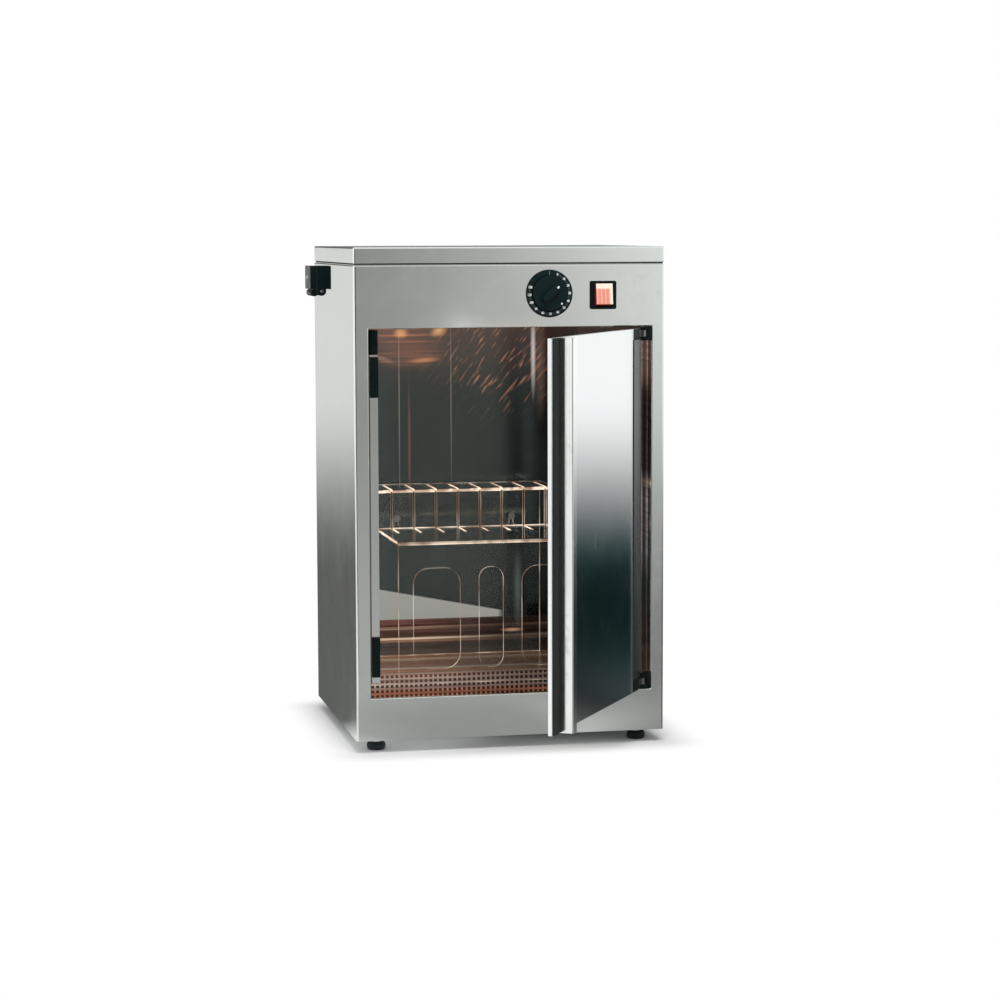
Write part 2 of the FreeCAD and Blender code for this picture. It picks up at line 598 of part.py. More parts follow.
# Hinges: a block on the right jamb holds a pin in two lugs, and the door's arm turns between them
hinge_x = f"({opening_right} - hinge_inset)"
door_low = f"({sill} + door_under)"
door_high = f"({opening_top} - door_over)"
door_height = f"({door_high} - {door_low})"
HINGES = {
    "top": (f"({opening_top} - seat_gap - block_height)", "block_height",
            f"({door_high} - cap_height)", "cap_height",
            f"({door_high} - cap_height / 2 - arm_height / 2)"),
    "bottom": (f"({sill} + seat_gap)", "low_block_height",
               door_low, "low_cap_height",
               f"({door_low} + low_cap_height / 2 - arm_height / 2)"),
}
block_side = f"({hinge_x} + eye_radius + 2 * seat_gap)"
for name, (low, height, cap_low, cap_tall, arm_low) in HINGES.items():
    jamb = piece(f"hinge_block_{name}")
    block(jamb, block_side, "-hinge_out", low, f"{opening_right} - {block_side} - seat_gap",
          "hinge_out + block_depth", height)
    block(jamb, hinge_x, "-hinge_out - eye_radius", low, f"{block_side} - {hinge_x} + skin",
          "2 * eye_radius", height)
    rod(jamb, hinge_x, "-hinge_out", low, "eye_radius", height)
    block(jamb, f"{hinge_x} - 2 * eye_radius", "-hinge_out - 2 * eye_radius", f"{arm_low} - seat_gap",
          f"{block_side} - {hinge_x} + 2 * eye_radius", "4 * eye_radius",
          "arm_height + 2 * seat_gap", cut=True)
    rod(jamb, hinge_x, "-hinge_out", f"{low} - skin", "pin_radius + press_gap", f"{height} + 2 * skin",
        "z", cut=True)
    pin = piece(f"hinge_pin_{name}")
    rod(pin, hinge_x, "-hinge_out", low, "pin_radius", height)


def door_piece(label):
    """A piece of the door, with x from the hinge axis along the door and y outwards from its face."""
    return piece(label, x=hinge_x, y="-hinge_out", angle="180 + door_turn")


for name, (low, height, cap_low, cap_tall, arm_low) in HINGES.items():
    cap = door_piece(f"hinge_cap_{name}")
    block(cap, "cap_start", "-door_thick", cap_low, "cap_width", "door_thick + seat_gap", cap_tall)
    soften(cap, "skin", edges(X, ys=["seat_gap"]))
    block(cap, "cap_start - skin", "-arm_thick - 2 * seat_gap", f"{arm_low} - press_gap",
          "cap_width / 2 + skin", "arm_thick + seat_gap", "arm_height + 2 * press_gap", cut=True)
    arm = door_piece(f"hinge_arm_{name}")
    block(arm, "0", "-arm_thick - seat_gap - press_gap", arm_low,
          "cap_start + cap_width / 2 - press_gap", "arm_thick", "arm_height")
    rod(arm, "0", "0", arm_low, "eye_radius", "arm_height")
    rod(arm, "0", "0", f"{arm_low} - skin", "pin_radius + fit", "arm_height + 2 * skin", "z", cut=True)

# Door: an outer tray closed by an inner panel, between two extruded profiles with tongues
tray_start = "(hinge_strip_start + hinge_strip_width + seat_gap)"
door_width = f"({hinge_x} - left_jamb - door_side_gap)"
grip_start = f"({door_width} - grip_flange)"
tray_length = f"({grip_start} - seat_gap - {tray_start})"
tray_thick = "(door_thick - liner_skin - seat_gap / 2)"
door_tray = door_piece("door_panel")
block(door_tray, tray_start, f"-{tray_thick}", door_low, tray_length, tray_thick, door_height)
block(door_tray, f"{tray_start} - skin", f"-{tray_thick} - skin", f"{door_low} + skin",
      f"{tray_length} + 2 * skin", tray_thick, f"{door_height} - 2 * skin", cut=True)
inner = door_piece("door_inner_panel")
block(inner, tray_start, "-door_thick", door_low, tray_length, "liner_skin", door_height)

tongue_side = "(-skin - seat_gap - tongue_thick)"
tongue_low = f"({door_low} + skin + seat_gap)"
tongue_height = f"({door_height} - 2 * skin - 2 * seat_gap)"
grip = door_piece("door_grip")
block(grip, grip_start, "-grip_flange_thick", door_low, "grip_flange", "grip_flange_thick", door_height)
block(grip, grip_start, "-door_thick", door_low, "grip_bar", "door_thick + grip_proud", door_height)
soften(grip, "grip_round", edges(Z, ys=["grip_proud"]))
soften(grip, "skin / 2", edges(Z, xs=[door_width]))
insert_start = f"({grip_start} + grip_bar + skin)"
block(grip, f"{insert_start} - fit", "-insert_seat", f"{door_low} - skin", "insert_width + 2 * fit",
      "insert_thick", f"{door_height} + 2 * skin", cut=True)
block(grip, f"{grip_start} - tongue_length", tongue_side, tongue_low, "tongue_length + skin",
      "tongue_thick", tongue_height)

# Ribbed insert of the pull profile, pressed into its recess
insert = door_piece("grip_insert")
block(insert, insert_start, "-insert_seat", door_low, "insert_width", "insert_thick", door_height)
for count in range(4):
    rod(insert, f"{insert_start} + insert_width / 2 + ({count} - 1.5) * rib_pitch",
        "insert_thick - insert_seat", door_low, "rib_radius", door_height)

hinge_side = door_piece("door_hinge_profile")
strip_z = f"({door_low} + low_cap_height + seat_gap)"
profile_height = f"({door_height} - low_cap_height - cap_height - 2 * seat_gap)"
block(hinge_side, "hinge_strip_start", "-door_thick", strip_z, "hinge_strip_width",
      "door_thick + hinge_strip_proud", profile_height)
soften(hinge_side, "1.5 * skin", edges(Z, xs=["hinge_strip_start"]))
block(hinge_side, "hinge_strip_start + 2 * skin", "-door_thick + skin", f"{strip_z} - skin",
      "hinge_strip_width", "door_thick - 2 * skin", f"{profile_height} + 2 * skin", cut=True)
block(hinge_side, "hinge_strip_start + skin", tongue_side, strip_z,
      "hinge_strip_width - skin + tongue_length", "tongue_thick", profile_height)

# Blade rack: one clear sheet bent into two treads, with slots for blades, windows in the front leg
# and keyholes in the rear leg
middle = f"(left_jamb + {opening_width} / 2 - rack_shift)"
rack_left = f"({middle} - rack_width / 2)"
rack_back = f"({chamber_back} - rack_back_gap)"
riser_front = f"({rack_back} - tread_depth)"
front_top = f"({sill} + front_tread)"
rear_top = f"({sill} + rear_tread)"
leg_low = f"({sill} + front_leg_low)"
back_low = f"({sill} + seat_gap)"
rack = piece("blade_rack")
block(rack, rack_left, "rack_front", leg_low, "rack_width", "rack_thick", f"{front_top} - {leg_low}")
block(rack, rack_left, "rack_front", f"{front_top} - rack_thick", "rack_width",
      f"{riser_front} + rack_thick - rack_front", "rack_thick")
block(rack, rack_left, riser_front, f"{front_top} - rack_thick", "rack_width", "rack_thick",
      f"{rear_top} - {front_top} + rack_thick")
block(rack, rack_left, riser_front, f"{rear_top} - rack_thick", "rack_width",
      f"{rack_back} - {riser_front}", "rack_thick")
block(rack, rack_left, f"{rack_back} - rack_thick", back_low, "rack_width", "rack_thick",
      f"{rear_top} - {back_low}")
OUTER_BENDS = (("rack_front", front_top), (f"{riser_front} + rack_thick", f"{front_top} - rack_thick"),
               (riser_front, rear_top), (rack_back, rear_top))
INNER_BENDS = (("rack_front + rack_thick", f"{front_top} - rack_thick"), (riser_front, front_top),
               (f"{riser_front} + rack_thick", f"{rear_top} - rack_thick"),
               (f"{rack_back} - rack_thick", f"{rear_top} - rack_thick"))


def on_bend(bends):
    """A test that picks the bends, given as places across the sheet's section."""
    return lambda a, b: along(X, a, b) and any(near(a.y, y) and near(a.z, z) for y, z in bends)


soften(rack, "rack_bend", on_bend(OUTER_BENDS))
soften(rack, "rack_bend - rack_thick", on_bend(INNER_BENDS))

window_z = f"({sill} + window_low)"
WINDOWS = (
    (f"({middle} - mid_window / 2 - window_post - side_window)", "side_window", "window_round"),
    (f"({middle} - mid_window / 2)", "mid_window", "mid_window / 2 - skin"),
    (f"({middle} + mid_window / 2 + window_post)", "side_window", "window_round"),
)
for x, width, corner in WINDOWS:
    block(rack, x, "rack_front - skin", window_z, width, "rack_thick + 2 * skin", "window_height", cut=True)
    soften(rack, corner,
           edges(Y, xs=[x, f"{x} + {width}"], zs=[window_z, f"{window_z} + window_height"]))

slot_front = f"({riser_front} - slot_run)"
slot_back = f"({rack_back} - slot_stop)"
slot = block(rack, f"{rack_left} + slot_margin - slot_width / 2", slot_front,
             f"{front_top} - rack_thick - skin", "slot_width", f"{slot_back} - {slot_front}",
             f"{rear_top} - {front_top} + rack_thick + 2 * skin", cut=True)
slot_row = rack.newObject("PartDesign::LinearPattern", "slot_row")
slot_row.Originals = [slot]
rack_axis = next(feature for feature in rack.Origin.OriginFeatures if feature.Role == "X_Axis")
slot_row.Direction = (rack_axis, [""])
slot_row.setExpression("Length", bound("rack_width - slot_margin - slot_end"))
slot_row.setExpression("Occurrences", bound("slot_count"))
rack.Tip = slot_row

stud_z = f"({rear_top} - stud_drop)"
STUD_XS = (f"({middle} - stud_spread / 2)", f"({middle} + stud_spread / 2)")
key_front = f"({rack_back} - rack_thick - skin)"
key_depth = "(rack_thick + 2 * skin)"
key_low = f"({stud_z} - rack_lift)"
for x in STUD_XS:
    rod(rack, x, key_front, key_low, "stud_head + 2 * seat_gap", key_depth, "y", cut=True)
    rod(rack, x, key_front, stud_z, "stud_radius + seat_gap", key_depth, "y", cut=True)
    block(rack, f"{x} - stud_radius - seat_gap", key_front, key_low,
          "2 * stud_radius + 2 * seat_gap", key_depth, "rack_lift", cut=True)


def stud(x):
    """A headed stud on the back wall, that the rack's keyhole slips over."""
    shank_front = f"({rack_back} - rack_thick - seat_gap)"
    shank = rod_solid(x, shank_front, stud_z, "stud_radius", f"{chamber_back} - {shank_front}", Y)
    head = rod_solid(x, f"{shank_front} - 2 * skin", stud_z, "stud_head", "2 * skin", Y)
    return shank.fuse(head).removeSplitter()


group("rack_studs", [stud(x) for x in STUD_XS])

# Lamp: glass tube with a metal cap and two pins at each end, in two holders, under a folded reflector
lamp_right = "(body_width - lamp_space)"
lamp_left = f"({lamp_right} - lamp_length)"
lamp_z = f"({ceiling} - lamp_drop)"
tube = piece("lamp_tube")
rod(tube, f"{lamp_left} + lamp_cap", "lamp_depth", lamp_z, "lamp_radius", "lamp_length - 2 * lamp_cap", "x")
rod(tube, f"{lamp_left} + lamp_cap + lamp_wall", "lamp_depth", lamp_z, "lamp_radius - lamp_wall",
    "lamp_length - 2 * lamp_cap - 2 * lamp_wall", "x", cut=True)
pin_radius = "(fit * 14)"
pin_offset = "(lamp_radius / 3)"


def lamp_cap(cap_x, pin_x):
    """A cap and its two contact pins, one above the other."""
    cap = rod_solid(cap_x, "lamp_depth", lamp_z, "lamp_radius", "lamp_cap", X)
    pins = [rod_solid(pin_x, "lamp_depth", f"{lamp_z} + {side} * {pin_offset}", pin_radius, "lamp_pin", X)
            for side in (-1, 1)]
    return cap.fuse(pins).removeSplitter()


group("lamp_caps", [lamp_cap(lamp_left, f"{lamp_left} - lamp_pin"),
                    lamp_cap(f"({lamp_right} - lamp_cap)", lamp_right)])

HOLDERS = {"left": (f"({lamp_left} - lamp_pin_gap - holder_width)", f"({lamp_left} - lamp_pin - skin)"),
           "right": (f"({lamp_right} + lamp_pin_gap)", f"({lamp_right} + lamp_pin_gap - skin)")}
holder_low = f"({ceiling} - seat_gap - holder_height)"
for name, (x, bore_x) in HOLDERS.items():
    holder = piece(f"lamp_holder_{name}")
    block(holder, x, "lamp_depth - holder_depth / 2", holder_low, "holder_width", "holder_depth",
          "holder_height")
    soften(holder, "holder_depth / 5", edges(X, zs=[holder_low]))
    for side in (-1, 1):
        rod(holder, bore_x, "lamp_depth", f"{lamp_z} + {side} * {pin_offset}", f"{pin_radius} + fit",
            "lamp_pin + skin", "x", cut=True)
    rod(top_tray, f"{x} + holder_width / 2", "lamp_depth", f"{ceiling} - skin", "stem_radius",
        "3 * skin", "z", cut=True)

reflector = piece("lamp_reflector")
reflector_x = f"({lamp_left} - lamp_pin_gap + seat_gap)"
reflector_length = "(lamp_length + 2 * lamp_pin_gap - 2 * seat_gap)"
reflector_y = "(lamp_depth - reflector_depth / 2)"
block(reflector, reflector_x, reflector_y, f"{ceiling} - seat_gap - liner_skin", reflector_length,
      "reflector_depth", "liner_skin")
for y in (reflector_y, f"{reflector_y} + reflector_depth - liner_skin"):
    block(reflector, reflector_x, y, f"{ceiling} - seat_gap - reflector_flange", reflector_length,
          "liner_skin", "reflector_flange")

# Timer: movement behind the fascia, fixed scale ring, and the knob on its shaft
movement_front = "(skin + seat_gap)"
timer = piece("timer_body")
block(timer, f"{dial_x} - timer_size / 2", movement_front, f"{dial_z} - timer_size / 2",
      "timer_size", "timer_depth", "timer_size")
rod(timer, dial_x, "-skin", dial_z, "bush_radius", f"{movement_front} + 2 * skin", "y")
rod(timer, dial_x, "-2 * skin", dial_z, "shaft_radius + fit", f"{movement_front} + timer_depth * 0.8",
    "y", cut=True)
ring = piece("timer_scale_ring")
rod(ring, dial_x, "-ring_thick", dial_z, "ring_radius", "ring_thick", "y")
rod(ring, dial_x, "-ring_thick - skin", dial_z, "ring_bore", "ring_thick + 2 * skin", "y", cut=True)
knob_back = "(ring_thick + seat_gap)"
knob_place = dict(x=dial_x, z=dial_z, axis=Y, angle="knob_turn")
knob = piece("timer_knob", **knob_place)
rod(knob, "0", f"-{knob_back} - knob_disc", "0", "knob_radius", "knob_disc", "y")
block(knob, "-grip_width / 2", f"-{knob_back} - knob_disc - grip_height", "-grip_length / 2", "grip_width",
      "grip_height + skin", "grip_length")
soften(knob, "grip_width / 3", edges(Y, xs=["grip_width / 2", "-grip_width / 2"]))
shaft = piece("timer_shaft", **knob_place)
rod(shaft, "0", f"-{knob_back}", "0", "shaft_radius",
    f"{knob_back} + {movement_front} + timer_depth / 2", "y")

# Rocker switch: a housing that snaps into the fascia, and the lit rocker on its axle
housing = piece("rocker_housing")
block(housing, f"{rocker_x} - bezel_width / 2", "-bezel_thick", f"{rocker_z} - bezel_height / 2",
      "bezel_width", "bezel_thick", "bezel_height")
soften(housing, "bezel_thick", edges(Y))
block(housing, f"{rocker_x} - {housing_width} / 2", "-skin / 2", f"{rocker_z} - {housing_height} / 2",
      housing_width, "housing_depth + skin / 2", housing_height)
block(housing, f"{rocker_x} - {cavity_width} / 2", "-2 * bezel_thick", f"{rocker_z} - {cavity_height} / 2",
      cavity_width, "housing_depth + 2 * bezel_thick - housing_wall", cavity_height, cut=True)
axle_radius = "(housing_wall * 0.75)"
rod(housing, f"{rocker_x} - {cavity_width} / 2 - housing_wall / 2", "rocker_pivot", rocker_z,
    f"{axle_radius} + fit", f"{cavity_width} + housing_wall", "x", cut=True)
rocker = piece("rocker_button", x=rocker_x, y="rocker_pivot", z=rocker_z, axis=X, angle="-rocker_turn")
rocker_front = "(rocker_pivot + bezel_thick + rocker_proud)"
block(rocker, "-rocker_width / 2", f"-{rocker_front}", "-rocker_height / 2", "rocker_width",
      f"{rocker_front} + rocker_pivot", "rocker_height")
soften(rocker, "skin", lambda a, b: near(a.y, f"-{rocker_front}") and near(b.y, f"-{rocker_front}"))
rod(rocker, f"-{cavity_width} / 2 - housing_wall / 2 + fit", "0", "0", axle_radius,
    f"{cavity_width} + housing_wall - 2 * fit", "x")

# Inlet box on the left side: a base with a cable barrel, and an outer cover
barrel_x = "(-inlet_base * 0.66)"
barrel_z = f"({inlet_low} - barrel_radius * 0.44)"
inlet = piece("inlet_base")
block(inlet, "-inlet_base", "inlet_front", inlet_low, "inlet_base", "inlet_depth", "inlet_height")
block(inlet, "-inlet_base - skin", "inlet_front + inlet_wall", f"{inlet_low} + 1.5 * inlet_wall",
      "inlet_base + skin - inlet_wall", "inlet_depth - 2 * inlet_wall",
      "inlet_height - 2.5 * inlet_wall", cut=True)
rod(inlet, "-1.5 * inlet_wall", "inlet_front + inlet_depth / 2", f"{inlet_low} + inlet_height / 2",
    "barrel_bore", "2 * inlet_wall", "x", cut=True)
rod(inlet, barrel_x, "inlet_front + skin", barrel_z, "barrel_radius", "barrel_length", "y")
rod(inlet, f"{barrel_x} - barrel_radius - screw_barrel * 0.72", "inlet_front + 2 * skin",
    f"{inlet_low} - screw_barrel - seat_gap / 3", "screw_barrel", "barrel_length - 2 * skin", "y")
rod(inlet, barrel_x, "inlet_front + skin + barrel_length / 8", barrel_z, "barrel_bore",
    "barrel_length", "y", cut=True)
inlet_cover = piece("inlet_cover")
cover_face = "(-inlet_base - inlet_cap)"
block(inlet_cover, cover_face, "inlet_front", inlet_low, "inlet_cap", "inlet_depth", "inlet_height")
soften(inlet_cover, "skin", lambda a, b: near(a.x, cover_face) and near(b.x, cover_face))
small_head = "(screw_radius * 0.8)"
cover_screw = rod_solid(f"{cover_face} - skin", "inlet_front + inlet_depth / 2",
                        f"{inlet_low} + inlet_height / 2", small_head, "skin", X)
barrel_screw = rod_solid(barrel_x, "inlet_front", barrel_z, small_head, "skin", Y)
group("inlet_screws", [cover_screw, barrel_screw])

# Electric parts on the ceiling tray: ballast, starter in its socket, terminal block
shelf = f"({ceiling} + liner_skin)"
ballast = piece("ballast")
ballast_y = f"({chamber_back} - ballast_width - rear_flange)"
ballast_x = "(2 * rear_flange)"
block(ballast, ballast_x, ballast_y, shelf, "ballast_length", "ballast_width", "2 * skin")
block(ballast, f"{ballast_x} + rear_flange", ballast_y, shelf, "ballast_length - 2 * rear_flange",
      "ballast_width", "ballast_height")
socket = piece("starter_socket")
socket_x = f"({ballast_x} + ballast_length + 2 * rear_flange)"
starter_y = f"({ballast_y} + ballast_width / 2)"
starter_z = f"({shelf} + starter_radius + 2 * skin)"
block(socket, socket_x, f"{starter_y} - starter_radius", shelf, "rear_flange", "2 * starter_radius",
      "2 * starter_radius + 4 * skin")
starter = piece("starter")
rod(starter, f"{socket_x} + rear_flange", starter_y, starter_z, "starter_radius", "starter_length", "x")
terminals = piece("terminal_block")
block(terminals, ballast_x, "inlet_front - terminal_length / 2", shelf, "terminal_width",
      "terminal_length", "terminal_height")
for count in range(5):
    rod(terminals, f"{ballast_x} + terminal_width / 2",
        f"inlet_front + ({count} - 2) * terminal_length / 6", f"{shelf} + terminal_height / 2",
        "screw_radius", "terminal_height", "z", cut=True)


def check(things):
    """Stops before anything is written if a feature failed or a piece has no sound shape."""
    bad = [o.Label for o in doc.Objects if {"Invalid", "Error"} & set(o.State)]
    bad += [o.Label for o in things if o.Shape.isNull() or not o.Shape.isValid() or not o.Shape.Solids]
    if bad:
        raise SystemExit("failed: " + ", ".join(bad))


doc.recompute()
check(pieces)

# The origin: bottom centre of the box round everything, with the door open as drawn
whole = wrap.Shape.optimalBoundingBox(False, False)
for thing in pieces:
    if not whole.isInside(thing.Shape.BoundBox):
        whole.add(thing.Shape.optimalBoundingBox(False, False))
shift = [round(-whole.Center.x, 4), round(-whole.Center.y, 4)]
sheet.set("origin_x", str(shift[0]))
sheet.set("origin_y", str(shift[1]))
doc.recompute()
check(pieces)

os.makedirs("parts", exist_ok=True)
for thing in pieces:
    thing.Shape.exportStep(f"parts/{thing.Label}.step")
print(len(pieces), "nodes, size", [round(v, 3) for v in (whole.XLength, whole.YLength, whole.ZLength)])
print("shift", shift)
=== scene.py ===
import math

import bpy
import numpy as np
from mathutils import Matrix, Vector


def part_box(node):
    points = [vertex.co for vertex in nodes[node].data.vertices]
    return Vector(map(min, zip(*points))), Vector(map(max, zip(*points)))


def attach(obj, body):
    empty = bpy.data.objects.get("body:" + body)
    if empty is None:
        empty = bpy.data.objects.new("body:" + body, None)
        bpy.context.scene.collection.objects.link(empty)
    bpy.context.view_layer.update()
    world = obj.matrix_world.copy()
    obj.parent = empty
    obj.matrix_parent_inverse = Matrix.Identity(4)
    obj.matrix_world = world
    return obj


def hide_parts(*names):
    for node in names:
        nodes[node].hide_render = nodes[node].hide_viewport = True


# Cabinet of thin folded stainless sheet: a chamber with a clear slotted rack under a germicidal lamp,
# its door standing open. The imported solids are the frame, and everything here dresses them
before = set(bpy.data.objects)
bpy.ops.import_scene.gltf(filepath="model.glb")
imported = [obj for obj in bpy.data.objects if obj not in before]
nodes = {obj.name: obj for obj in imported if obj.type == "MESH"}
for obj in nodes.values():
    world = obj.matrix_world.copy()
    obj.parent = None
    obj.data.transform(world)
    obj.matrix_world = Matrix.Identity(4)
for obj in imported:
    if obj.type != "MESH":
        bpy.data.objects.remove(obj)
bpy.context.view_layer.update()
case_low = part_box("outer_wrap")[0]
scene = bpy.context.scene
scene.view_settings.view_transform = "Standard"


def at(x, y, z):
    """Places in the case's own frame, in millimetres: x from its left face, y from its front face to
    the back, z from the floor. They come back as points of the row's frame, in metres."""
    x, y, z = np.broadcast_arrays(x, y, z)
    return np.stack([case_low.x + x / 1000, case_low.y + y / 1000, z / 1000], -1)


# Camera: a long lens about 2.7 m in front, to the left of the case and a little above its lid, looking
# slightly down
CAMERA_PLACE, FOCAL_LENGTH = (-417.5, -2694.9, 540.3), 95.504
yaw, pitch, roll = math.radians(11.95), math.radians(5.76), math.radians(-0.164)
ahead = np.array([math.sin(yaw) * math.cos(pitch), math.cos(yaw) * math.cos(pitch), -math.sin(pitch)])
level = np.array([math.cos(yaw), -math.sin(yaw), 0.0])
upward = np.cross(level, ahead)
across = math.cos(roll) * level + math.sin(roll) * upward
upright = math.cos(roll) * upward - math.sin(roll) * level
lens = bpy.data.cameras.new("camera")
lens.sensor_width, lens.lens = 36.0, FOCAL_LENGTH
lens.clip_start, lens.clip_end = 0.05, 60.0
camera = bpy.data.objects.new("camera", lens)
camera.matrix_world = (Matrix.Translation(at(*CAMERA_PLACE))
                       @ Matrix(np.column_stack([across, upright, -ahead]).tolist()).to_4x4())
scene.collection.objects.link(camera)
scene.camera = camera

# Studio: an even white surround, a large softbox overhead in front, and a weaker one low on the left.
# The lamps themselves aren't mirrored, because the reflector cards stand for them
SURROUND = 0.6


def wire(tree, kind, feeds=None, **settings):
    """Adds a shader node, sets its plain settings, and feeds its inputs with sockets or constants."""
    made = tree.nodes.new(kind)
    for name, value in settings.items():
        setattr(made, name, value)
    for name, value in (feeds or {}).items():
        if isinstance(value, bpy.types.NodeSocket):
            tree.links.new(value, made.inputs[name])
        else:
            made.inputs[name].default_value = value
    return made


def sum_of(tree, first, second, kind="ADD"):
    """One number from two, each a socket or a constant."""
    return wire(tree, "ShaderNodeMath", {0: first, 1: second}, operation=kind).outputs[0]


def rise(tree, value, start, end, low=0.0, high=1.0, kind="SMOOTHSTEP"):
    """A number that runs from low to high while the value goes from start to end."""
    ends = {"Value": value, "From Min": start, "From Max": end, "To Min": low, "To Max": high}
    return wire(tree, "ShaderNodeMapRange", ends, interpolation_type=kind).outputs[0]


def seen_white(tree, dim):
    """A strength of 1 for the camera, mirrors and glass, and of dim for light that falls on the case."""
    path = wire(tree, "ShaderNodeLightPath")
    seen = sum_of(tree, path.outputs["Is Camera Ray"], path.outputs["Is Glossy Ray"], "MAXIMUM")
    seen = sum_of(tree, seen, path.outputs["Is Transmission Ray"], "MAXIMUM")
    return rise(tree, seen, 0, 1, dim, 1, "LINEAR")


world = bpy.data.worlds.new("studio_white")
world.use_nodes = True
scene.world = world
world.node_tree.nodes.clear()
even = wire(world.node_tree, "ShaderNodeBackground",
            {"Color": (1, 1, 1, 1), "Strength": seen_white(world.node_tree, SURROUND)})
wire(world.node_tree, "ShaderNodeOutputWorld", {"Surface": even.outputs[0]})
for name, spot, aim, size, power in (("softbox_overhead", (60, -900, 2500), (165, 60, 200), 1.3, 34),
                                     ("softbox_left", (-1500, -1700, 900), (150, 0, 250), 1.2, 9)):
    lamp = bpy.data.lights.new(name, "AREA")
    lamp.shape, lamp.size, lamp.energy = "DISK", size, power
    holder = bpy.data.objects.new(name, lamp)
    place, target = Vector(at(*spot)), Vector(at(*aim))
    towards = (target - place).to_track_quat("-Z", "Y").to_matrix().to_4x4()
    holder.matrix_world = Matrix.Translation(place) @ towards
    holder.visible_glossy = False
    scene.collection.objects.link(holder)

# Floor: a wide matt sheet. Under and close round the case it is grey, a painted shade over its real soft
# shadow, and it clears to plain white a few centimetres away from it
FLOOR_HALF, SHADOW_REACH, SHADOW_HALF = 30.0, 0.058, (0.155, 0.1425, 0.0)
PAPER_SHADE_GREY, PAPER_LIGHT = (0.78, 0.78, 0.78, 1), 0.85


def surface(name, grids, closed=True, sharp=32.0):
    """One mesh from grids of points (rows, columns, 3). Closed: each row is a ring, the two end rows
    are filled, and each grid becomes a solid with its faces outwards."""
    points, faces, start = [], [], 0
    for grid in grids:
        rows, columns = grid.shape[:2]
        row, column = np.meshgrid(np.arange(rows - 1), np.arange(columns if closed else columns - 1),
                                  indexing="ij")
        beside = (column + 1) % columns
        quads = np.stack([row * columns + column, row * columns + beside,
                          (row + 1) * columns + beside, (row + 1) * columns + column], -1).reshape(-1, 4)
        ends = np.stack([np.arange(columns)[::-1], np.arange(columns) + (rows - 1) * columns])
        flat = grid.reshape(-1, 3)
        if closed:
            fans = np.stack([np.repeat(ends[:, :1], columns - 2, 1), ends[:, 1:-1], ends[:, 2:]], -1)
            corners = np.concatenate([quads[:, :3], quads[:, [0, 2, 3]], fans.reshape(-1, 3)])
            sides = flat[corners] - flat.mean(0)
            volume = np.einsum("ij,ij->", sides[:, 0], np.cross(sides[:, 1], sides[:, 2]))
            if volume < 0:
                quads, ends = quads[:, ::-1], ends[:, ::-1]
        faces += (quads + start).tolist() + ((ends + start).tolist() if closed else [])
        points.append(flat)
        start += len(flat)
    mesh = bpy.data.meshes.new(name)
    mesh.from_pydata(np.concatenate(points).tolist(), [], faces)
    mesh.polygons.foreach_set("use_smooth", [True] * len(mesh.polygons))
    mesh.set_sharp_from_angle(angle=math.radians(sharp))
    made = bpy.data.objects.new(name, mesh)
    scene.collection.objects.link(made)
    made.modifiers.new("even_shading", "WEIGHTED_NORMAL").keep_sharp = True
    return made


def vector_of(tree, first, second=(0, 0, 0), kind="MULTIPLY"):
    """A vector or colour worked out from two, each a socket or a constant."""
    return wire(tree, "ShaderNodeVectorMath", {0: first, 1: second}, operation=kind).outputs[0]


def length_of(tree, vector):
    """The length of a vector."""
    return wire(tree, "ShaderNodeVectorMath", {0: vector}, operation="LENGTH").outputs["Value"]


edge = np.linspace(-FLOOR_HALF, FLOOR_HALF, 3)
floor = surface("floor", [np.stack([*np.meshgrid(edge, edge, indexing="ij"), np.zeros((3, 3))], -1)],
                closed=False)
floor.modifiers.clear()
paper = bpy.data.materials.new("white_paper")
paper.use_nodes = True
tree = paper.node_tree
tree.nodes.clear()
place = wire(tree, "ShaderNodeTexCoord").outputs["Object"]
middle = (at(14, 0, 0) + at(324, 285, 0)) / 2
folded = vector_of(tree, vector_of(tree, place, middle, "SUBTRACT"), kind="ABSOLUTE")
outside = vector_of(tree, vector_of(tree, folded, SHADOW_HALF, "SUBTRACT"), kind="MAXIMUM")
clear = rise(tree, length_of(tree, outside), 0.0, SHADOW_REACH)
# Painted shade: near the case the paper is a matt grey, darker than the white round it
matt = wire(tree, "ShaderNodeBsdfDiffuse", {"Color": PAPER_SHADE_GREY})
white = wire(tree, "ShaderNodeEmission", {"Color": (1, 1, 1, 1), "Strength": seen_white(tree, PAPER_LIGHT)})
mixed = wire(tree, "ShaderNodeMixShader", {0: clear, 1: matt.outputs[0], 2: white.outputs[0]})
wire(tree, "ShaderNodeOutputMaterial", {"Surface": mixed.outputs[0]})
floor.data.materials.append(paper)

# Reflector cards: what the polished metal mirrors. A grey table lies round the case, and walls stand
# at its edge: white on the left and right, with a dark gap at the camera and a dark table at rear right
TABLE_EDGE, TABLE_LIFT, WALL_TOP, WALL_ROWS = 8.0, 0.001, 6.0, 12
azimuth = np.arange(-180.0, 180.5, 1.5)
radius = np.concatenate([[0.01], np.geomspace(0.12, TABLE_EDGE, 48)])
reach = np.concatenate([radius, np.full(WALL_ROWS, TABLE_EDGE), [TABLE_EDGE / 2, 0.01]])
height = np.concatenate([np.full(len(radius), TABLE_LIFT), np.linspace(0, WALL_TOP, WALL_ROWS + 1)[1:],
                         [WALL_TOP + 1.5, WALL_TOP + 2]])
turn = np.radians(azimuth)
hub = at(165, 60, 0)
cards = surface("reflector_cards",
                [np.stack([hub[0] + np.outer(reach, np.sin(turn)), hub[1] - np.outer(reach, np.cos(turn)),
                           np.outer(height, np.ones(len(turn)))], -1)], closed=False)
cards.modifiers.clear()


def eased_step(value):
    """Runs from 0 to 1 with level ends: three squares less two cubes."""
    value = np.clip(value, 0, 1)
    return value * value * (3 - 2 * value)


out_to, up_to = reach[:, None], height[:, None]
on_table = up_to < 0.01
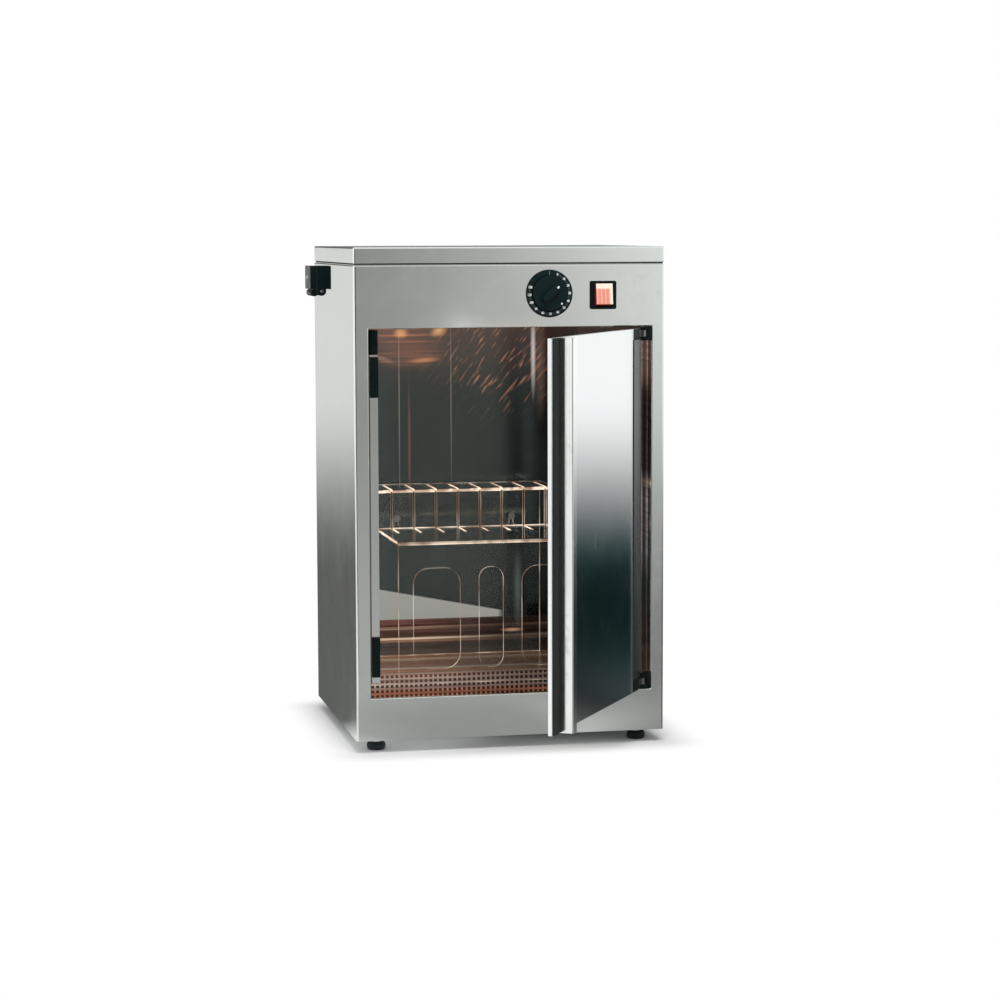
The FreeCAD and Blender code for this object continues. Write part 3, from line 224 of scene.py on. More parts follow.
# Azimuth counts from the front over the right to the back. Each line is light by azimuth: the table
# far from the case, what is added close to the case, and the walls
table = np.interp(azimuth, [-180, -125, -95, -60, -44, -18, -7, 2, 8, 21, 34, 60, 100, 150, 180],
                  [0.10, 0.14, 0.90, 0.90, 0.42, 0.56, 0.47, 0.42, 0.37, 0.25, 0.20, 0.10, 0.0, 0.03, 0.10])
close_by = np.interp(azimuth, [-180, -60, -26, -17, -8, 3, 10, 15, 28, 37, 60, 100, 150, 180],
                     [-0.03, 0.0, -0.22, -0.38, -0.40, -0.22, 0.10, 0.28, 0.45, 0.55, 0.2, 0.0, 0.0, -0.03])
wall = np.interp(azimuth, [-50, -46, -43, -5, 0, 4, 7, 9, 11, 12, 13, 14, 15, 16, 18, 24],
                 [1.16, 0.60, 0.07, 0.04, 0.07, 0.15, 0.26, 0.34, 0.39, 0.45, 0.56, 0.68, 0.80, 0.90,
                  1.02, 1.08])
wall *= np.where(np.abs(azimuth) > 150, 0.64, 1.0)
in_front = eased_step((azimuth + 32) / 12) * eased_step((52 - azimuth) / 12)
log_reach = np.log(np.maximum(out_to, 0.01))
far_front = eased_step((log_reach - math.log(1.2)) / math.log(10)) ** 1.2
far_side = eased_step((log_reach - math.log(1.3)) / math.log(6 / 1.3)) ** 1.5
far = far_front * in_front + far_side * (1 - in_front)
far[len(radius):] = 1.0
shine = table * (1 - far) + wall * far + close_by * np.exp(-(out_to / 0.30) ** 2)
# The door mirrors the table at rear right, which is a little lighter close to the case
DOOR_AZIMUTH, DOOR_SPREAD, DOOR_LIGHT, DOOR_REACH = 129, 28, 0.19, 0.45
at_door = np.exp(-((azimuth - DOOR_AZIMUTH) / DOOR_SPREAD) ** 2)
shine += DOOR_LIGHT * at_door * np.exp(-(out_to / DOOR_REACH) ** 2)
# In front on the left, a slanting edge parts the white table from the dark gap at the camera
DARK, WHITE = 0.05, 1.12
lying = on_table * eased_step((out_to - 0.44) / 0.1)
white_edge = -50 + 14.3 / np.maximum(out_to, 0.4)
gap_light = lying * eased_step((azimuth - white_edge - 2) / 4) * eased_step((-8 - azimuth) / 5)
shine = shine * (1 - gap_light) + DARK * gap_light
# Just in front of the case lies a darker patch with a round corner, in a paler rim
RIM_LIGHT, PATCH_LIGHT, CORNER_X, CORNER_OUT = 0.10, 0.325, 150, 150
spot_x = 165 + 1000 * np.outer(reach, np.sin(turn))
spot_out = 1000 * np.outer(reach, np.cos(turn)) - 60
away = np.hypot(np.maximum(spot_x - CORNER_X, 0) / 95, np.maximum(spot_out - CORNER_OUT, 0) / 145)
low_front = on_table * in_front
rim = low_front * np.exp(-((away - 1.22) / 0.24) ** 2) * eased_step((spot_out - 60) / 80)
shine += RIM_LIGHT * rim
patch = low_front * eased_step((1.08 - away) / 0.16)
shine = shine * (1 - patch) + PATCH_LIGHT * patch
left_front = lying * eased_step((azimuth + 66) / 8) * eased_step((white_edge + 2 - azimuth) / 4)
shine = shine * (1 - left_front) + WHITE * left_front
# Above, a white roof draws bright lines on the bends, and a dark one behind shows in the lid's top
ROOF_LIGHT, BEHIND_LIGHT, BRIGHTEST = 0.96, 0.10, 1.16
roof = eased_step((up_to - 1.8) / 3.5)
shine = shine * (1 - roof) + ROOF_LIGHT * roof
behind = eased_step((np.abs(azimuth) - 148) / 8) * eased_step((up_to - 0.6) / 0.4)
behind = behind * eased_step((4.5 - up_to) / 1.5)
shine = np.clip(shine * (1 - behind) + BEHIND_LIGHT * behind, 0, BRIGHTEST)
red = shine * (1 - at_door + at_door * (1 - np.exp(-shine / 0.075))) * 0.975
blue = shine * (0.966 + 0.03 * at_door)
paint = cards.data.color_attributes.new("shine", "FLOAT_COLOR", "POINT")
paint.data.foreach_set("color", np.stack([red, shine, blue, np.ones_like(shine)], -1).reshape(-1))
board = bpy.data.materials.new("reflector_board")
board.use_nodes = True
board.node_tree.nodes.clear()
tone = wire(board.node_tree, "ShaderNodeAttribute", attribute_name="shine")
lit = wire(board.node_tree, "ShaderNodeEmission", {"Color": tone.outputs["Color"], "Strength": 1.0})
wire(board.node_tree, "ShaderNodeOutputMaterial", {"Surface": lit.outputs[0]})
cards.data.materials.append(board)
cards.visible_camera = cards.visible_diffuse = cards.visible_shadow = False
cards.visible_volume_scatter = False

# Outer wrap: 1 mm cold-rolled stainless, folded round the front and both sides. It has a faint
# satin grain, soft clouds from polishing, a few rubbed marks, and painted shade in the joint under the lid
JOINT_LOW, JOINT_SOFT = 0.5073, 0.0004
JOINT_SHADE = (0.02, 0.022, 0.022, 1)


def effect(name, inputs, outputs):
    """A shader node group with named inputs (name, kind, default) and outputs, and its two ends."""
    group = bpy.data.node_groups.new(name, "ShaderNodeTree")
    for label, kind, value in inputs:
        socket = group.interface.new_socket(label, in_out="INPUT", socket_type="NodeSocket" + kind)
        if value is not None:
            socket.default_value = value
    for label, kind in outputs:
        group.interface.new_socket(label, in_out="OUTPUT", socket_type="NodeSocket" + kind)
    return group, wire(group, "NodeGroupInput"), wire(group, "NodeGroupOutput")


def noise_of(tree, spot, scale=1.0, detail=3.0, **more):
    """Cloudy noise from 0 to 1 at a spot."""
    return wire(tree, "ShaderNodeTexNoise",
                {"Vector": spot, "Scale": scale, "Detail": detail, **more}).outputs[0]


def product_of(tree, first, second):
    """One number times another, each a socket or a constant."""
    return sum_of(tree, first, second, "MULTIPLY")


def blend_of(tree, share, first, second):
    """A colour that runs from the first to the second with the share, each a socket or a constant."""
    return wire(tree, "ShaderNodeMix", {"Factor": share, "A": first, "B": second},
                data_type="RGBA").outputs["Result"]


rolled, given, made = effect("rolled_sheet",
                             [("Coordinates", "Vector", None), ("Stretch", "Vector", (900, 900, 9)),
                              ("Sag Size", "Float", 9.0)],
                             [("Lines", "Float"), ("Clouds", "Float"), ("Rubs", "Float"), ("Sag", "Float")])
spot = given.outputs["Coordinates"]
rubs = noise_of(rolled, spot, 55.0, 6.0, Distortion=1.5)
for label, source in (("Lines", noise_of(rolled, vector_of(rolled, spot, given.outputs["Stretch"]))),
                      ("Clouds", noise_of(rolled, spot, 17.0, 4.0, Roughness=0.6)),
                      ("Rubs", rise(rolled, rubs, 0.56, 0.72)),
                      ("Sag", noise_of(rolled, spot, given.outputs["Sag Size"], 1.0))):
    rolled.links.new(source, made.inputs[label])


def bump_of(tree, height, distance):
    """A bump node that bends the reflections by a height, as deep as a distance in metres."""
    return wire(tree, "ShaderNodeBump", {"Height": height, "Distance": distance, "Strength": 1.0})


def sheet_metal(name, light, dark, smooth, dull, stretch=(900, 900, 9), grain=2e-7, sag=0.0, sag_size=9.0,
                shaded_above=None):
    """Metal sheet: colour and roughness run between two values with the clouds, fine drawn lines and
    a slow sag bend the reflections, and a painted shade, dark and dull, may lie above a height."""
    metal = bpy.data.materials.new(name)
    metal.use_nodes = True
    tree = metal.node_tree
    bsdf = tree.nodes["Principled BSDF"]
    place = wire(tree, "ShaderNodeTexCoord").outputs["Object"]
    sheet = wire(tree, "ShaderNodeGroup", node_tree=rolled)
    tree.links.new(place, sheet.inputs["Coordinates"])
    sheet.inputs["Stretch"].default_value = stretch
    sheet.inputs["Sag Size"].default_value = sag_size
    colour = blend_of(tree, sheet.outputs["Clouds"], (*dark, 1), (*light, 1))
    rough = rise(tree, sheet.outputs["Clouds"], 0.3, 0.7, smooth, dull, "LINEAR")
    rough = sum_of(tree, rough, product_of(tree, sheet.outputs["Lines"], 0.06))
    rough = sum_of(tree, rough, product_of(tree, sheet.outputs["Rubs"], 0.05))
    # Painted shade: above the height the sheet turns dark and dull, for the joint under the lid
    if shaded_above:
        up = wire(tree, "ShaderNodeSeparateXYZ", {0: place}).outputs["Z"]
        joint_shade_mask = rise(tree, up, *shaded_above)
        colour = blend_of(tree, joint_shade_mask, colour, JOINT_SHADE)
        rough = sum_of(tree, rough, product_of(tree, joint_shade_mask, 0.8))
        tree.links.new(rise(tree, joint_shade_mask, 0, 1, 1, 0, "LINEAR"), bsdf.inputs["Metallic"])
    fine = bump_of(tree, sheet.outputs["Lines"], grain)
    if sag:
        tree.links.new(bump_of(tree, sheet.outputs["Sag"], sag).outputs[0], fine.inputs["Normal"])
    bsdf.inputs["Metallic"].default_value = 1.0
    tree.links.new(colour, bsdf.inputs["Base Color"])
    tree.links.new(rough, bsdf.inputs["Roughness"])
    tree.links.new(fine.outputs[0], bsdf.inputs["Normal"])
    return metal


def dress(material, *names):
    """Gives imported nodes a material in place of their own."""
    for name in names:
        nodes[name].data.materials.clear()
        nodes[name].data.materials.append(material)


satin_steel = sheet_metal("satin_steel", (0.83, 0.84, 0.835), (0.78, 0.795, 0.79), 0.10, 0.17,
                          shaded_above=(JOINT_LOW, JOINT_LOW + JOINT_SOFT))
dress(satin_steel, "outer_wrap")

# Rear panel and base: plain zinc-plated sheet, a panel screwed to the wrap's rear flanges and a folded
# tray that carries the feet. Both are duller than the wrap, with the cloudy spangle of the plating
zinc_sheet = sheet_metal("zinc_sheet", (0.70, 0.71, 0.72), (0.56, 0.57, 0.585), 0.26, 0.42,
                         stretch=(260, 260, 200), grain=8e-7)
dress(zinc_sheet, "rear_panel", "base_panel")

# Chamber walls: one polished sheet, its colour painted dark for the shade inside the case. Painted
# light glows on it: warm highlights of the lamp in streaks near the ceiling, and painted reflections of
# the shelf and the sill as bands low on the back wall
WALL_BACK = 277.0


def object_place(tree):
    """Object coordinates, then the three of them one by one: to the side, into the case, and up."""
    place = wire(tree, "ShaderNodeTexCoord").outputs["Object"]
    return place, *wire(tree, "ShaderNodeSeparateXYZ", {0: place}).outputs


def glow_patch(tree, place, middle, half, tilt=0.0):
    """A mask that is 1 at a point (x, z) of the back wall and fades to 0 at an ellipse round it."""
    moved = wire(tree, "ShaderNodeMapping", {"Vector": place, "Location": at(middle[0], WALL_BACK, middle[1]),
                                             "Rotation": (0, math.radians(tilt), 0),
                                             "Scale": (half[0] / 1000, 4.0, half[1] / 1000)},
                 vector_type="TEXTURE")
    return rise(tree, length_of(tree, moved.outputs[0]), 0.0, 1.0, 1.0, 0.0)


def tint_over(tree, below, mask, colour):
    """Adds a colour to what is below, as far as the mask says."""
    return wire(tree, "ShaderNodeVectorMath", {0: colour, 1: mask, 2: below},
                operation="MULTIPLY_ADD").outputs[0]


def banded(tree, value, stops):
    """Colours along a value from 0 to 1, as (place, colour) stops in rising order."""
    ramp = wire(tree, "ShaderNodeValToRGB", {"Fac": value})
    elements = ramp.color_ramp.elements
    while len(elements) < len(stops):
        elements.new(1.0)
    for element, (spot, colour) in zip(elements, stops):
        element.position = spot
        element.color = (*colour, 1)
    return ramp.outputs["Color"]


# Its colour is painted dark for the shade inside the case, and its glow is painted light
liner_steel = sheet_metal("liner_steel", (0.085, 0.098, 0.098), (0.055, 0.066, 0.066), 0.07, 0.15,
                          stretch=(60, 60, 420), grain=4e-6, sag=0.0008, sag_size=7.0)
tree = liner_steel.node_tree
bsdf = tree.nodes["Principled BSDF"]
place, side, deep, up = object_place(tree)
left = at(0, 0, 0)[0]
turned_streaks = wire(tree, "ShaderNodeMapping", {"Vector": place, "Rotation": (0, math.radians(38), 0),
                                                "Scale": (0.0030, 1, 0.024)}, vector_type="TEXTURE")
lamp_streaks = noise_of(tree, turned_streaks.outputs[0], detail=2.0, Distortion=0.4)
levels = noise_of(tree, vector_of(tree, place, (5, 5, 330)))
# Painted highlights and reflections as streaks on the back wall: middle and half size in millimetres,
# tilt in degrees, colour
glow = (0, 0, 0)
for middle, half, tilt, colour in (
        ((160, 465), (250, 120), 0, (0.060, 0.026, 0.020)), ((88, 428), (75, 50), 10, (0.075, 0.024, 0.012)),
        ((97, 427), (11, 8), 0, (0.50, 0.24, 0.08)), ((141, 429), (13, 8), -20, (0.52, 0.27, 0.10)),
        ((124, 396), (25, 4.2), -4, (0.36, 0.14, 0.05)), ((112, 402), (46, 20), 0, (0.06, 0.022, 0.01)),
        ((75, 398), (20, 4.5), 18, (0.16, 0.08, 0.05)), ((250.8, 404), (4.0, 66), 0, (0.46, 0.42, 0.40)),
        ((259, 388), (10, 80), 0, (0.07, 0.045, 0.037)), ((225, 83), (17, 3.0), 0, (0.42, 0.22, 0.13)),
        ((94.6, 345), (1.1, 150), 0, (0.16, 0.135, 0.12)), ((154.6, 350), (1.0, 140), 0, (0.14, 0.12, 0.11)),
        ((232, 130), (7, 60), 0, (0.055, 0.062, 0.058)), ((106, 300), (2.4, 100), 0, (0.10, 0.035, 0.024))):
    glow = tint_over(tree, glow, glow_patch(tree, place, middle, half, tilt), colour)
# Painted highlights of the lamp, broken up by noise: middle and half size in millimetres, strength, colour
for middle, half, strength, colour in (
        ((205, 405), (100, 92), rise(tree, lamp_streaks, 0.54, 0.76), (0.46, 0.18, 0.085)),
        ((100, 420), (70, 50), rise(tree, levels, 0.52, 0.72), (0.22, 0.075, 0.035))):
    glow = tint_over(tree, glow, product_of(tree, glow_patch(tree, place, middle, half), strength), colour)
# Painted wedge of reflected light over the bands: its top falls to the right by a slope, from a height at
# its left
BANDS_LOW, BANDS_HIGH, SOFT = 0.0575, 0.0990, 0.0005
WEDGE_LEFT, WEDGE_SLOPE, WEDGE_TOP, WEDGE_RIGHT = 0.0765, 0.196, 0.1322, 0.207
above_bands = rise(tree, up, BANDS_HIGH - SOFT, BANDS_HIGH + SOFT)
from_left = sum_of(tree, side, left + WEDGE_LEFT, "SUBTRACT")
slope = sum_of(tree, product_of(tree, from_left, WEDGE_SLOPE), up)
wedge = product_of(tree, rise(tree, slope, WEDGE_TOP, WEDGE_TOP + 0.0014, 1.0, 0.0), above_bands)
wedge = product_of(tree, wedge, rise(tree, side, left + WEDGE_RIGHT, left + WEDGE_RIGHT + 0.009, 1.0, 0.0))
glow = tint_over(tree, glow, wedge, (0.285, 0.28, 0.255))
# Painted reflections of the shelf and the sill, as bands from the shelf up
bands = banded(tree, rise(tree, up, BANDS_LOW, BANDS_HIGH, kind="LINEAR"),
               ((0.0, (0.10, 0.045, 0.03)), (0.08, (0.035, 0.018, 0.015)), (0.34, (0.030, 0.016, 0.014)),
                (0.38, (0.26, 0.12, 0.06)), (0.42, (0.14, 0.07, 0.045)), (0.44, (0.55, 0.40, 0.29)),
                (0.48, (0.50, 0.35, 0.25)), (0.50, (0.10, 0.05, 0.035)), (0.70, (0.08, 0.038, 0.03)),
                (0.73, (0.28, 0.17, 0.12)), (0.78, (0.26, 0.15, 0.10)), (0.81, (0.12, 0.045, 0.035)),
                (0.99, (0.10, 0.035, 0.028))))
low_zone = product_of(tree, rise(tree, up, BANDS_HIGH - SOFT, BANDS_HIGH + SOFT, 1.0, 0.0),
                      rise(tree, side, left + 0.10, left + 0.23, 1.0, 0.16))
low_zone = product_of(tree, low_zone, rise(tree, levels, 0.35, 0.62, 0.45, 1.15))
glow = tint_over(tree, glow, low_zone, bands)
on_back = rise(tree, deep, at(0, WALL_BACK - 2, 0)[1], at(0, WALL_BACK - 0.5, 0)[1])
back_glow = vector_of(tree, glow, on_back)
# Painted reflections as upright lines on the right wall, by depth from the front, and how they change
# with height
COPPER, CREAM, SHADE = (0.16, 0.055, 0.035), (0.30, 0.21, 0.17), (0.030, 0.014, 0.012)
RIGHT_WALL, GLOW_FOOT, GLOW_TOP = 0.300, 0.05, 0.45
uprights = banded(tree, rise(tree, deep, at(0, 0, 0)[1], at(0, 60, 0)[1], kind="LINEAR"),
                  ((0.0, SHADE), (0.12, COPPER), (0.2, SHADE), (0.3, SHADE), (0.34, CREAM), (0.42, COPPER),
                   (0.5, SHADE), (0.62, SHADE), (0.68, COPPER), (0.74, CREAM), (0.8, SHADE), (0.99, SHADE)))
on_right = product_of(tree, rise(tree, side, left + RIGHT_WALL, left + RIGHT_WALL + 0.006),
                      rise(tree, levels, 0.3, 0.6, 0.4, 1.0))
down_right = banded(tree, rise(tree, up, GLOW_FOOT, GLOW_TOP, kind="LINEAR"),
                    ((0.0, (0.10, 0.2, 0.22)), (0.30, (0.12, 0.24, 0.26)), (0.38, (0.6, 1.1, 1.5)),
                     (0.52, (0.9, 1.6, 1.9)), (0.60, (0.2, 0.25, 0.3)), (0.80, (0.16, 0.18, 0.2)),
                     (0.86, (0.9, 0.9, 0.9)), (0.99, (1.1, 1.1, 1.1))))
walls_glow = tint_over(tree, back_glow, on_right, vector_of(tree, uprights, down_right))
tree.links.new(walls_glow, bsdf.inputs["Emission Color"])
bsdf.inputs["Emission Strength"].default_value = 1.0
dress(liner_steel, "chamber_liner")

# Ceiling tray, well floor and lamp reflector: the ceiling and the floor close the chamber in the same
# polish, seen edge on, their colour painted dark brown for the shade inside the case, and the reflector
# over the lamp is bright folded aluminium
well_steel = sheet_metal("well_steel", (0.22, 0.17, 0.145), (0.14, 0.115, 0.105), 0.08, 0.17,
                         stretch=(60, 420, 60), grain=5e-6, sag=0.001, sag_size=8.0)
dress(well_steel, "chamber_ceiling", "chamber_floor")
tray_aluminium = sheet_metal("tray_aluminium", (0.78, 0.77, 0.75), (0.68, 0.67, 0.65), 0.10, 0.2,
                             stretch=(9, 700, 700))
dress(tray_aluminium, "lamp_reflector")

# Perforated step: one polished sheet, folded into a shelf over the well whose riser is punched with
# square holes. Its colour is painted dark for the shade in the chamber, and painted warm highlights and
# reflections lie in bands across it, strongest at the left
SHELF_FRONT, SHELF_BACK, RISER_FOOT, STEP_TOP = 152, 277, 0.030, 0.0575
step_steel = sheet_metal("step_steel", (0.24, 0.16, 0.12), (0.16, 0.11, 0.085), 0.12, 0.24,
                         stretch=(30, 500, 500), grain=2e-6, sag=0.0005, sag_size=11.0)
tree = step_steel.node_tree
bsdf = tree.nodes["Principled BSDF"]
place, side, deep, up = object_place(tree)
bars = noise_of(tree, vector_of(tree, place, (9, 260, 260)))
shelf_low, shelf_high = at(0, SHELF_FRONT, 0)[1], at(0, SHELF_BACK, 0)[1]
shelf = banded(tree, rise(tree, deep, shelf_low, shelf_high, kind="LINEAR"),
               ((0.0, (0.42, 0.36, 0.30)), (0.03, (0.13, 0.07, 0.05)), (0.10, (0.44, 0.19, 0.07)),
                (0.17, (0.16, 0.08, 0.05)), (0.27, (0.48, 0.37, 0.29)), (0.33, (0.16, 0.085, 0.06)),
                (0.62, (0.22, 0.10, 0.05)), (0.78, (0.52, 0.38, 0.26)), (0.84, (0.28, 0.12, 0.05)),
                (0.99, (0.36, 0.17, 0.08))))
riser = banded(tree, rise(tree, up, RISER_FOOT, STEP_TOP, kind="LINEAR"),
               ((0.0, (0.34, 0.12, 0.06)), (0.25, (0.28, 0.11, 0.07)), (0.45, (0.26, 0.20, 0.17)),
                (0.80, (0.24, 0.17, 0.14)), (0.99, (0.22, 0.12, 0.09))))
on_shelf = rise(tree, up, STEP_TOP - 0.0007, STEP_TOP - 0.0003)
fading = product_of(tree, rise(tree, side, left + 0.02, left + 0.24, 1.25, 0.42),
                    rise(tree, bars, 0.35, 0.65, 0.55, 1.3, "LINEAR"))
fading = product_of(tree, fading, rise(tree, on_shelf, 0, 1, 1.6, 0.52))
# Painted light: warm bands on the shelf and the riser, stronger at the left
painted_warm_light = vector_of(tree, blend_of(tree, on_shelf, riser, shelf), fading)
tree.links.new(painted_warm_light, bsdf.inputs["Emission Color"])
bsdf.inputs["Emission Strength"].default_value = 0.8
dress(step_steel, "perforated_step")

# Small bright metal: foot stems and nuts, the inlet's screws, the timer's shaft, the lamp's caps and
# the starter's can, turned or pressed. The hinge arms, pins and rack studs are painted darker as shade
bright_steel = sheet_metal("bright_steel", (0.82, 0.82, 0.82), (0.68, 0.69, 0.70), 0.12, 0.26,
                           stretch=(900, 900, 900), grain=4e-7)
FEET = ("front_left", "front_right", "rear_left", "rear_right")
dress(bright_steel, "foot_nuts", "inlet_screws", "timer_shaft", "lamp_caps", "starter",
      *(f"foot_stem_{foot}" for foot in FEET))
shaded_steel = sheet_metal("shaded_steel", (0.30, 0.30, 0.30), (0.20, 0.205, 0.21), 0.2, 0.34,
                              stretch=(700, 700, 700), grain=6e-7)
dress(shaded_steel, "hinge_arm_top", "hinge_arm_bottom", "hinge_pin_top", "hinge_pin_bottom", "rack_studs")

# Lid: a shallow tray of the same sheet, folded down all round over the wrap's up-stand. Its top edge
# is a soft bend, and its lower edge is turned under, so both draw a thin bright line
LID_BEND, LID_HEM, LID_CORNER = 1.7, 0.9, 2.2


def reach_of(node):
    """Lowest and highest corner of a node in the case's frame, in millimetres."""
    zero = at(0, 0, 0)
    return tuple((np.array(corner) - zero) * 1000 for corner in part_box(node))


def ring_of(half_x, half_y, corner, inset, quarter=7):
    """Points of a rectangle with round corners, drawn in by an inset: each corner's arc keeps its
    centre until the inset is as large as the corner."""
    bend = np.maximum(corner - inset, 0.02)
    sweep = np.linspace(0, math.pi / 2, quarter)
    turns = np.concatenate([sweep + quarter_turn * math.pi / 2 for quarter_turn in range(4)])
    sign_x = np.repeat([1, -1, -1, 1], quarter)
    sign_y = np.repeat([1, 1, -1, -1], quarter)
    return (sign_x * (half_x - inset - bend) + bend * np.cos(turns),
            sign_y * (half_y - inset - bend) + bend * np.sin(turns))


low, high = reach_of("lid")
sweep = np.linspace(0, math.pi / 2, 7)
hem = np.linspace(0, math.pi, 7)
lid_profile = np.concatenate([
    [(20, high[2] - 1), (4, high[2] - 1), (LID_HEM, high[2] - 3), (LID_HEM, low[2] + 2)],
    np.stack([LID_HEM / 2 * (1 + np.cos(hem)), low[2] + LID_HEM / 2 * (1 - np.sin(hem))], -1),
    [(0, low[2] + 2), (0, high[2] - 4)],
    np.stack([LID_BEND * (1 - np.cos(sweep)), high[2] - LID_BEND * (1 - np.sin(sweep))], -1),
    [(4, high[2]), (20, high[2])]])
half = (high - low) / 2
rings = [ring_of(half[0], half[1], LID_CORNER, inset) for inset, _ in lid_profile]
lid = surface("lid_tray", [np.stack([at(low[0] + half[0] + x, low[1] + half[1] + y, z)
                                     for (x, y), (_, z) in zip(rings, lid_profile)])])
lid_steel = sheet_metal("lid_steel", (0.83, 0.84, 0.835), (0.78, 0.795, 0.79), 0.09, 0.15,
                        stretch=(9, 900, 900))
lid.data.materials.append(lid_steel)
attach(lid, "cabinet")
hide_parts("lid")

# Case screws: pan heads with a cross recess, of plated steel. Six go through the rear panel into the
# wrap's flanges, and two through the lid's rear skirt
HEAD, HEAD_HEIGHT = 4.1, 1.9
RECESS_TURN, ARM_TURN = 20, 30


def screw_heads(name, places, out):
    """Pan-head screws with a cross recess. A head is a polar grid: its height is a flat dome, one less
    the fifth power of the radius, and the recess is cut where a point is near either arm of the cross."""
    out = np.array(out, float)
    side = np.array([out[1], out[2], out[0]])
    other = np.cross(out, side)
    share = np.concatenate([[1.0], np.sqrt(np.linspace(0.995, 0.0004, 22))])
    turn = np.linspace(0, 2 * math.pi, 56, endpoint=False) + math.radians(RECESS_TURN)
    along, beside = np.outer(share, np.cos(turn)), np.outer(share, np.sin(turn))
    lean = np.cos(np.radians(ARM_TURN))
    arm = np.minimum(np.abs(lean * along - 0.5 * beside), np.abs(lean * beside + 0.5 * along))
    cross = eased_step((0.17 - arm) / 0.08) * eased_step((0.66 - share[:, None]) / 0.1)
    lift = HEAD_HEIGHT * ((1 - share[:, None] ** 5) ** 0.5 * np.ones_like(along) - 0.55 * cross)
    lift[0] = 0.0
    head = HEAD * (along[..., None] * side + beside[..., None] * other) + lift[..., None] * out
    made = surface(name, [at(*np.moveaxis(np.array(spot) + head, -1, 0)) for spot in places], sharp=50)
    made.data.materials.append(bright_steel)
    return made


low, high = reach_of("rear_screws")
heights = (low[2] + HEAD, 260.0, high[2] - HEAD)
case_screws = screw_heads("case_screw_heads",
                          [(x, high[1] - HEAD_HEIGHT, z) for x in (low[0] + HEAD, high[0] - HEAD)
                           for z in heights], (0, 1, 0))
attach(case_screws, "cabinet")
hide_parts("rear_screws")
low, high = reach_of("lid_screws")
lid_screws = screw_heads("lid_screw_heads",
                         [(x, high[1] - HEAD_HEIGHT, (low[2] + high[2]) / 2)
                          for x in (low[0] + HEAD, high[0] - HEAD)], (0, 1, 0))
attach(lid_screws, "cabinet")
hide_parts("lid_screws")

# Door: a bright-annealed outer tray closed by a polished inner panel, both held between two profiles.
# The closing strip at the left jamb is a Z-shaped fold of satin sheet that carries the magnets
door_steel = sheet_metal("door_steel", (0.84, 0.85, 0.85), (0.81, 0.82, 0.82), 0.045, 0.085)
dress(door_steel, "door_panel")
inner_steel = sheet_metal("inner_steel", (0.62, 0.58, 0.54), (0.54, 0.50, 0.47), 0.07, 0.14, sag=0.0004)
dress(inner_steel, "door_inner_panel")
dress(satin_steel, "door_stop_strip")

# Pull and hinge profiles: anodised aluminium extrusions with the long fine lines of the die, pale at
# the free edge and bronze-black at the hinge, where they stay in the shade
anodised = sheet_metal("anodised", (0.92, 0.925, 0.925), (0.87, 0.875, 0.88), 0.11, 0.17,
                       stretch=(2600, 2600, 3), grain=3e-7)
dress(anodised, "door_grip")
dark_anodised = sheet_metal("dark_anodised", (0.135, 0.145, 0.15), (0.09, 0.10, 0.105), 0.16, 0.24,
                            stretch=(2600, 2600, 3), grain=3e-7)
dress(dark_anodised, "door_hinge_profile")

# Moulded plastics and rubber: fine pits from the mould, an uneven sheen, and paler, duller patches
# where hands have worn them
moulded, given, made = effect("moulded_skin", [("Coordinates", "Vector", None), ("Grain", "Float", 1800.0)],
                              [("Pits", "Float"), ("Tone", "Float")])
pits = wire(moulded, "ShaderNodeTexVoronoi",
            {"Vector": given.outputs["Coordinates"], "Scale": given.outputs["Grain"]})
moulded.links.new(pits.outputs["Distance"], made.inputs["Pits"])
moulded.links.new(noise_of(moulded, given.outputs["Coordinates"], 70.0, 5.0), made.inputs["Tone"])


def plastic(name, light, dark, smooth, dull, grain=1800.0, depth=6e-6, gloss=0.5):
    """Moulded plastic or rubber: colour and roughness run between two values with the tone."""
    stuff = bpy.data.materials.new(name)
    stuff.use_nodes = True
    tree = stuff.node_tree
    bsdf = tree.nodes["Principled BSDF"]
    place = wire(tree, "ShaderNodeTexCoord").outputs["Object"]
    skin = wire(tree, "ShaderNodeGroup", node_tree=moulded)
    tree.links.new(place, skin.inputs["Coordinates"])
    skin.inputs["Grain"].default_value = grain
    colour = blend_of(tree, skin.outputs["Tone"], (*dark, 1), (*light, 1))
    bump = bump_of(tree, skin.outputs["Pits"], depth)
    tree.links.new(colour, bsdf.inputs["Base Color"])
    tree.links.new(rise(tree, skin.outputs["Tone"], 0.3, 0.7, smooth, dull, "LINEAR"),
                   bsdf.inputs["Roughness"])
    tree.links.new(bump.outputs[0], bsdf.inputs["Normal"])
    bsdf.inputs["Specular IOR Level"].default_value = gloss
    return stuff


# Black mouldings: hinge blocks and their caps, the door switch, the switch housing, the inlet box, the
# cases of timer and ballast and the magnet bars, all moulded in black plastic. The blocks, the switch,
# its housing and the inlet box get eased edges
HARD_EDGE = math.radians(35)


def eased(node, radius, material, body, steps=3):
    """A copy of a moulded node: its loose triangles are joined, and its hard edges are rounded."""
    mesh = nodes[node].data.copy()
    mesh.name = node + "_moulding"
    mesh.materials.clear()
    mesh.materials.append(material)
    made = bpy.data.objects.new(node + "_moulding", mesh)
    scene.collection.objects.link(made)
    made.modifiers.new("joined", "WELD").merge_threshold = 1e-6
    flat = made.modifiers.new("flat_faces", "DECIMATE")
    flat.decimate_type, flat.angle_limit = "DISSOLVE", math.radians(1)
    soft = made.modifiers.new("soft_edges", "BEVEL")
    soft.width, soft.segments = radius / 1000, steps
    soft.limit_method, soft.angle_limit = "ANGLE", HARD_EDGE
    soft.harden_normals = True
    mesh.polygons.foreach_set("use_smooth", [True] * len(mesh.polygons))
    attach(made, body)
    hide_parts(node)
    return made


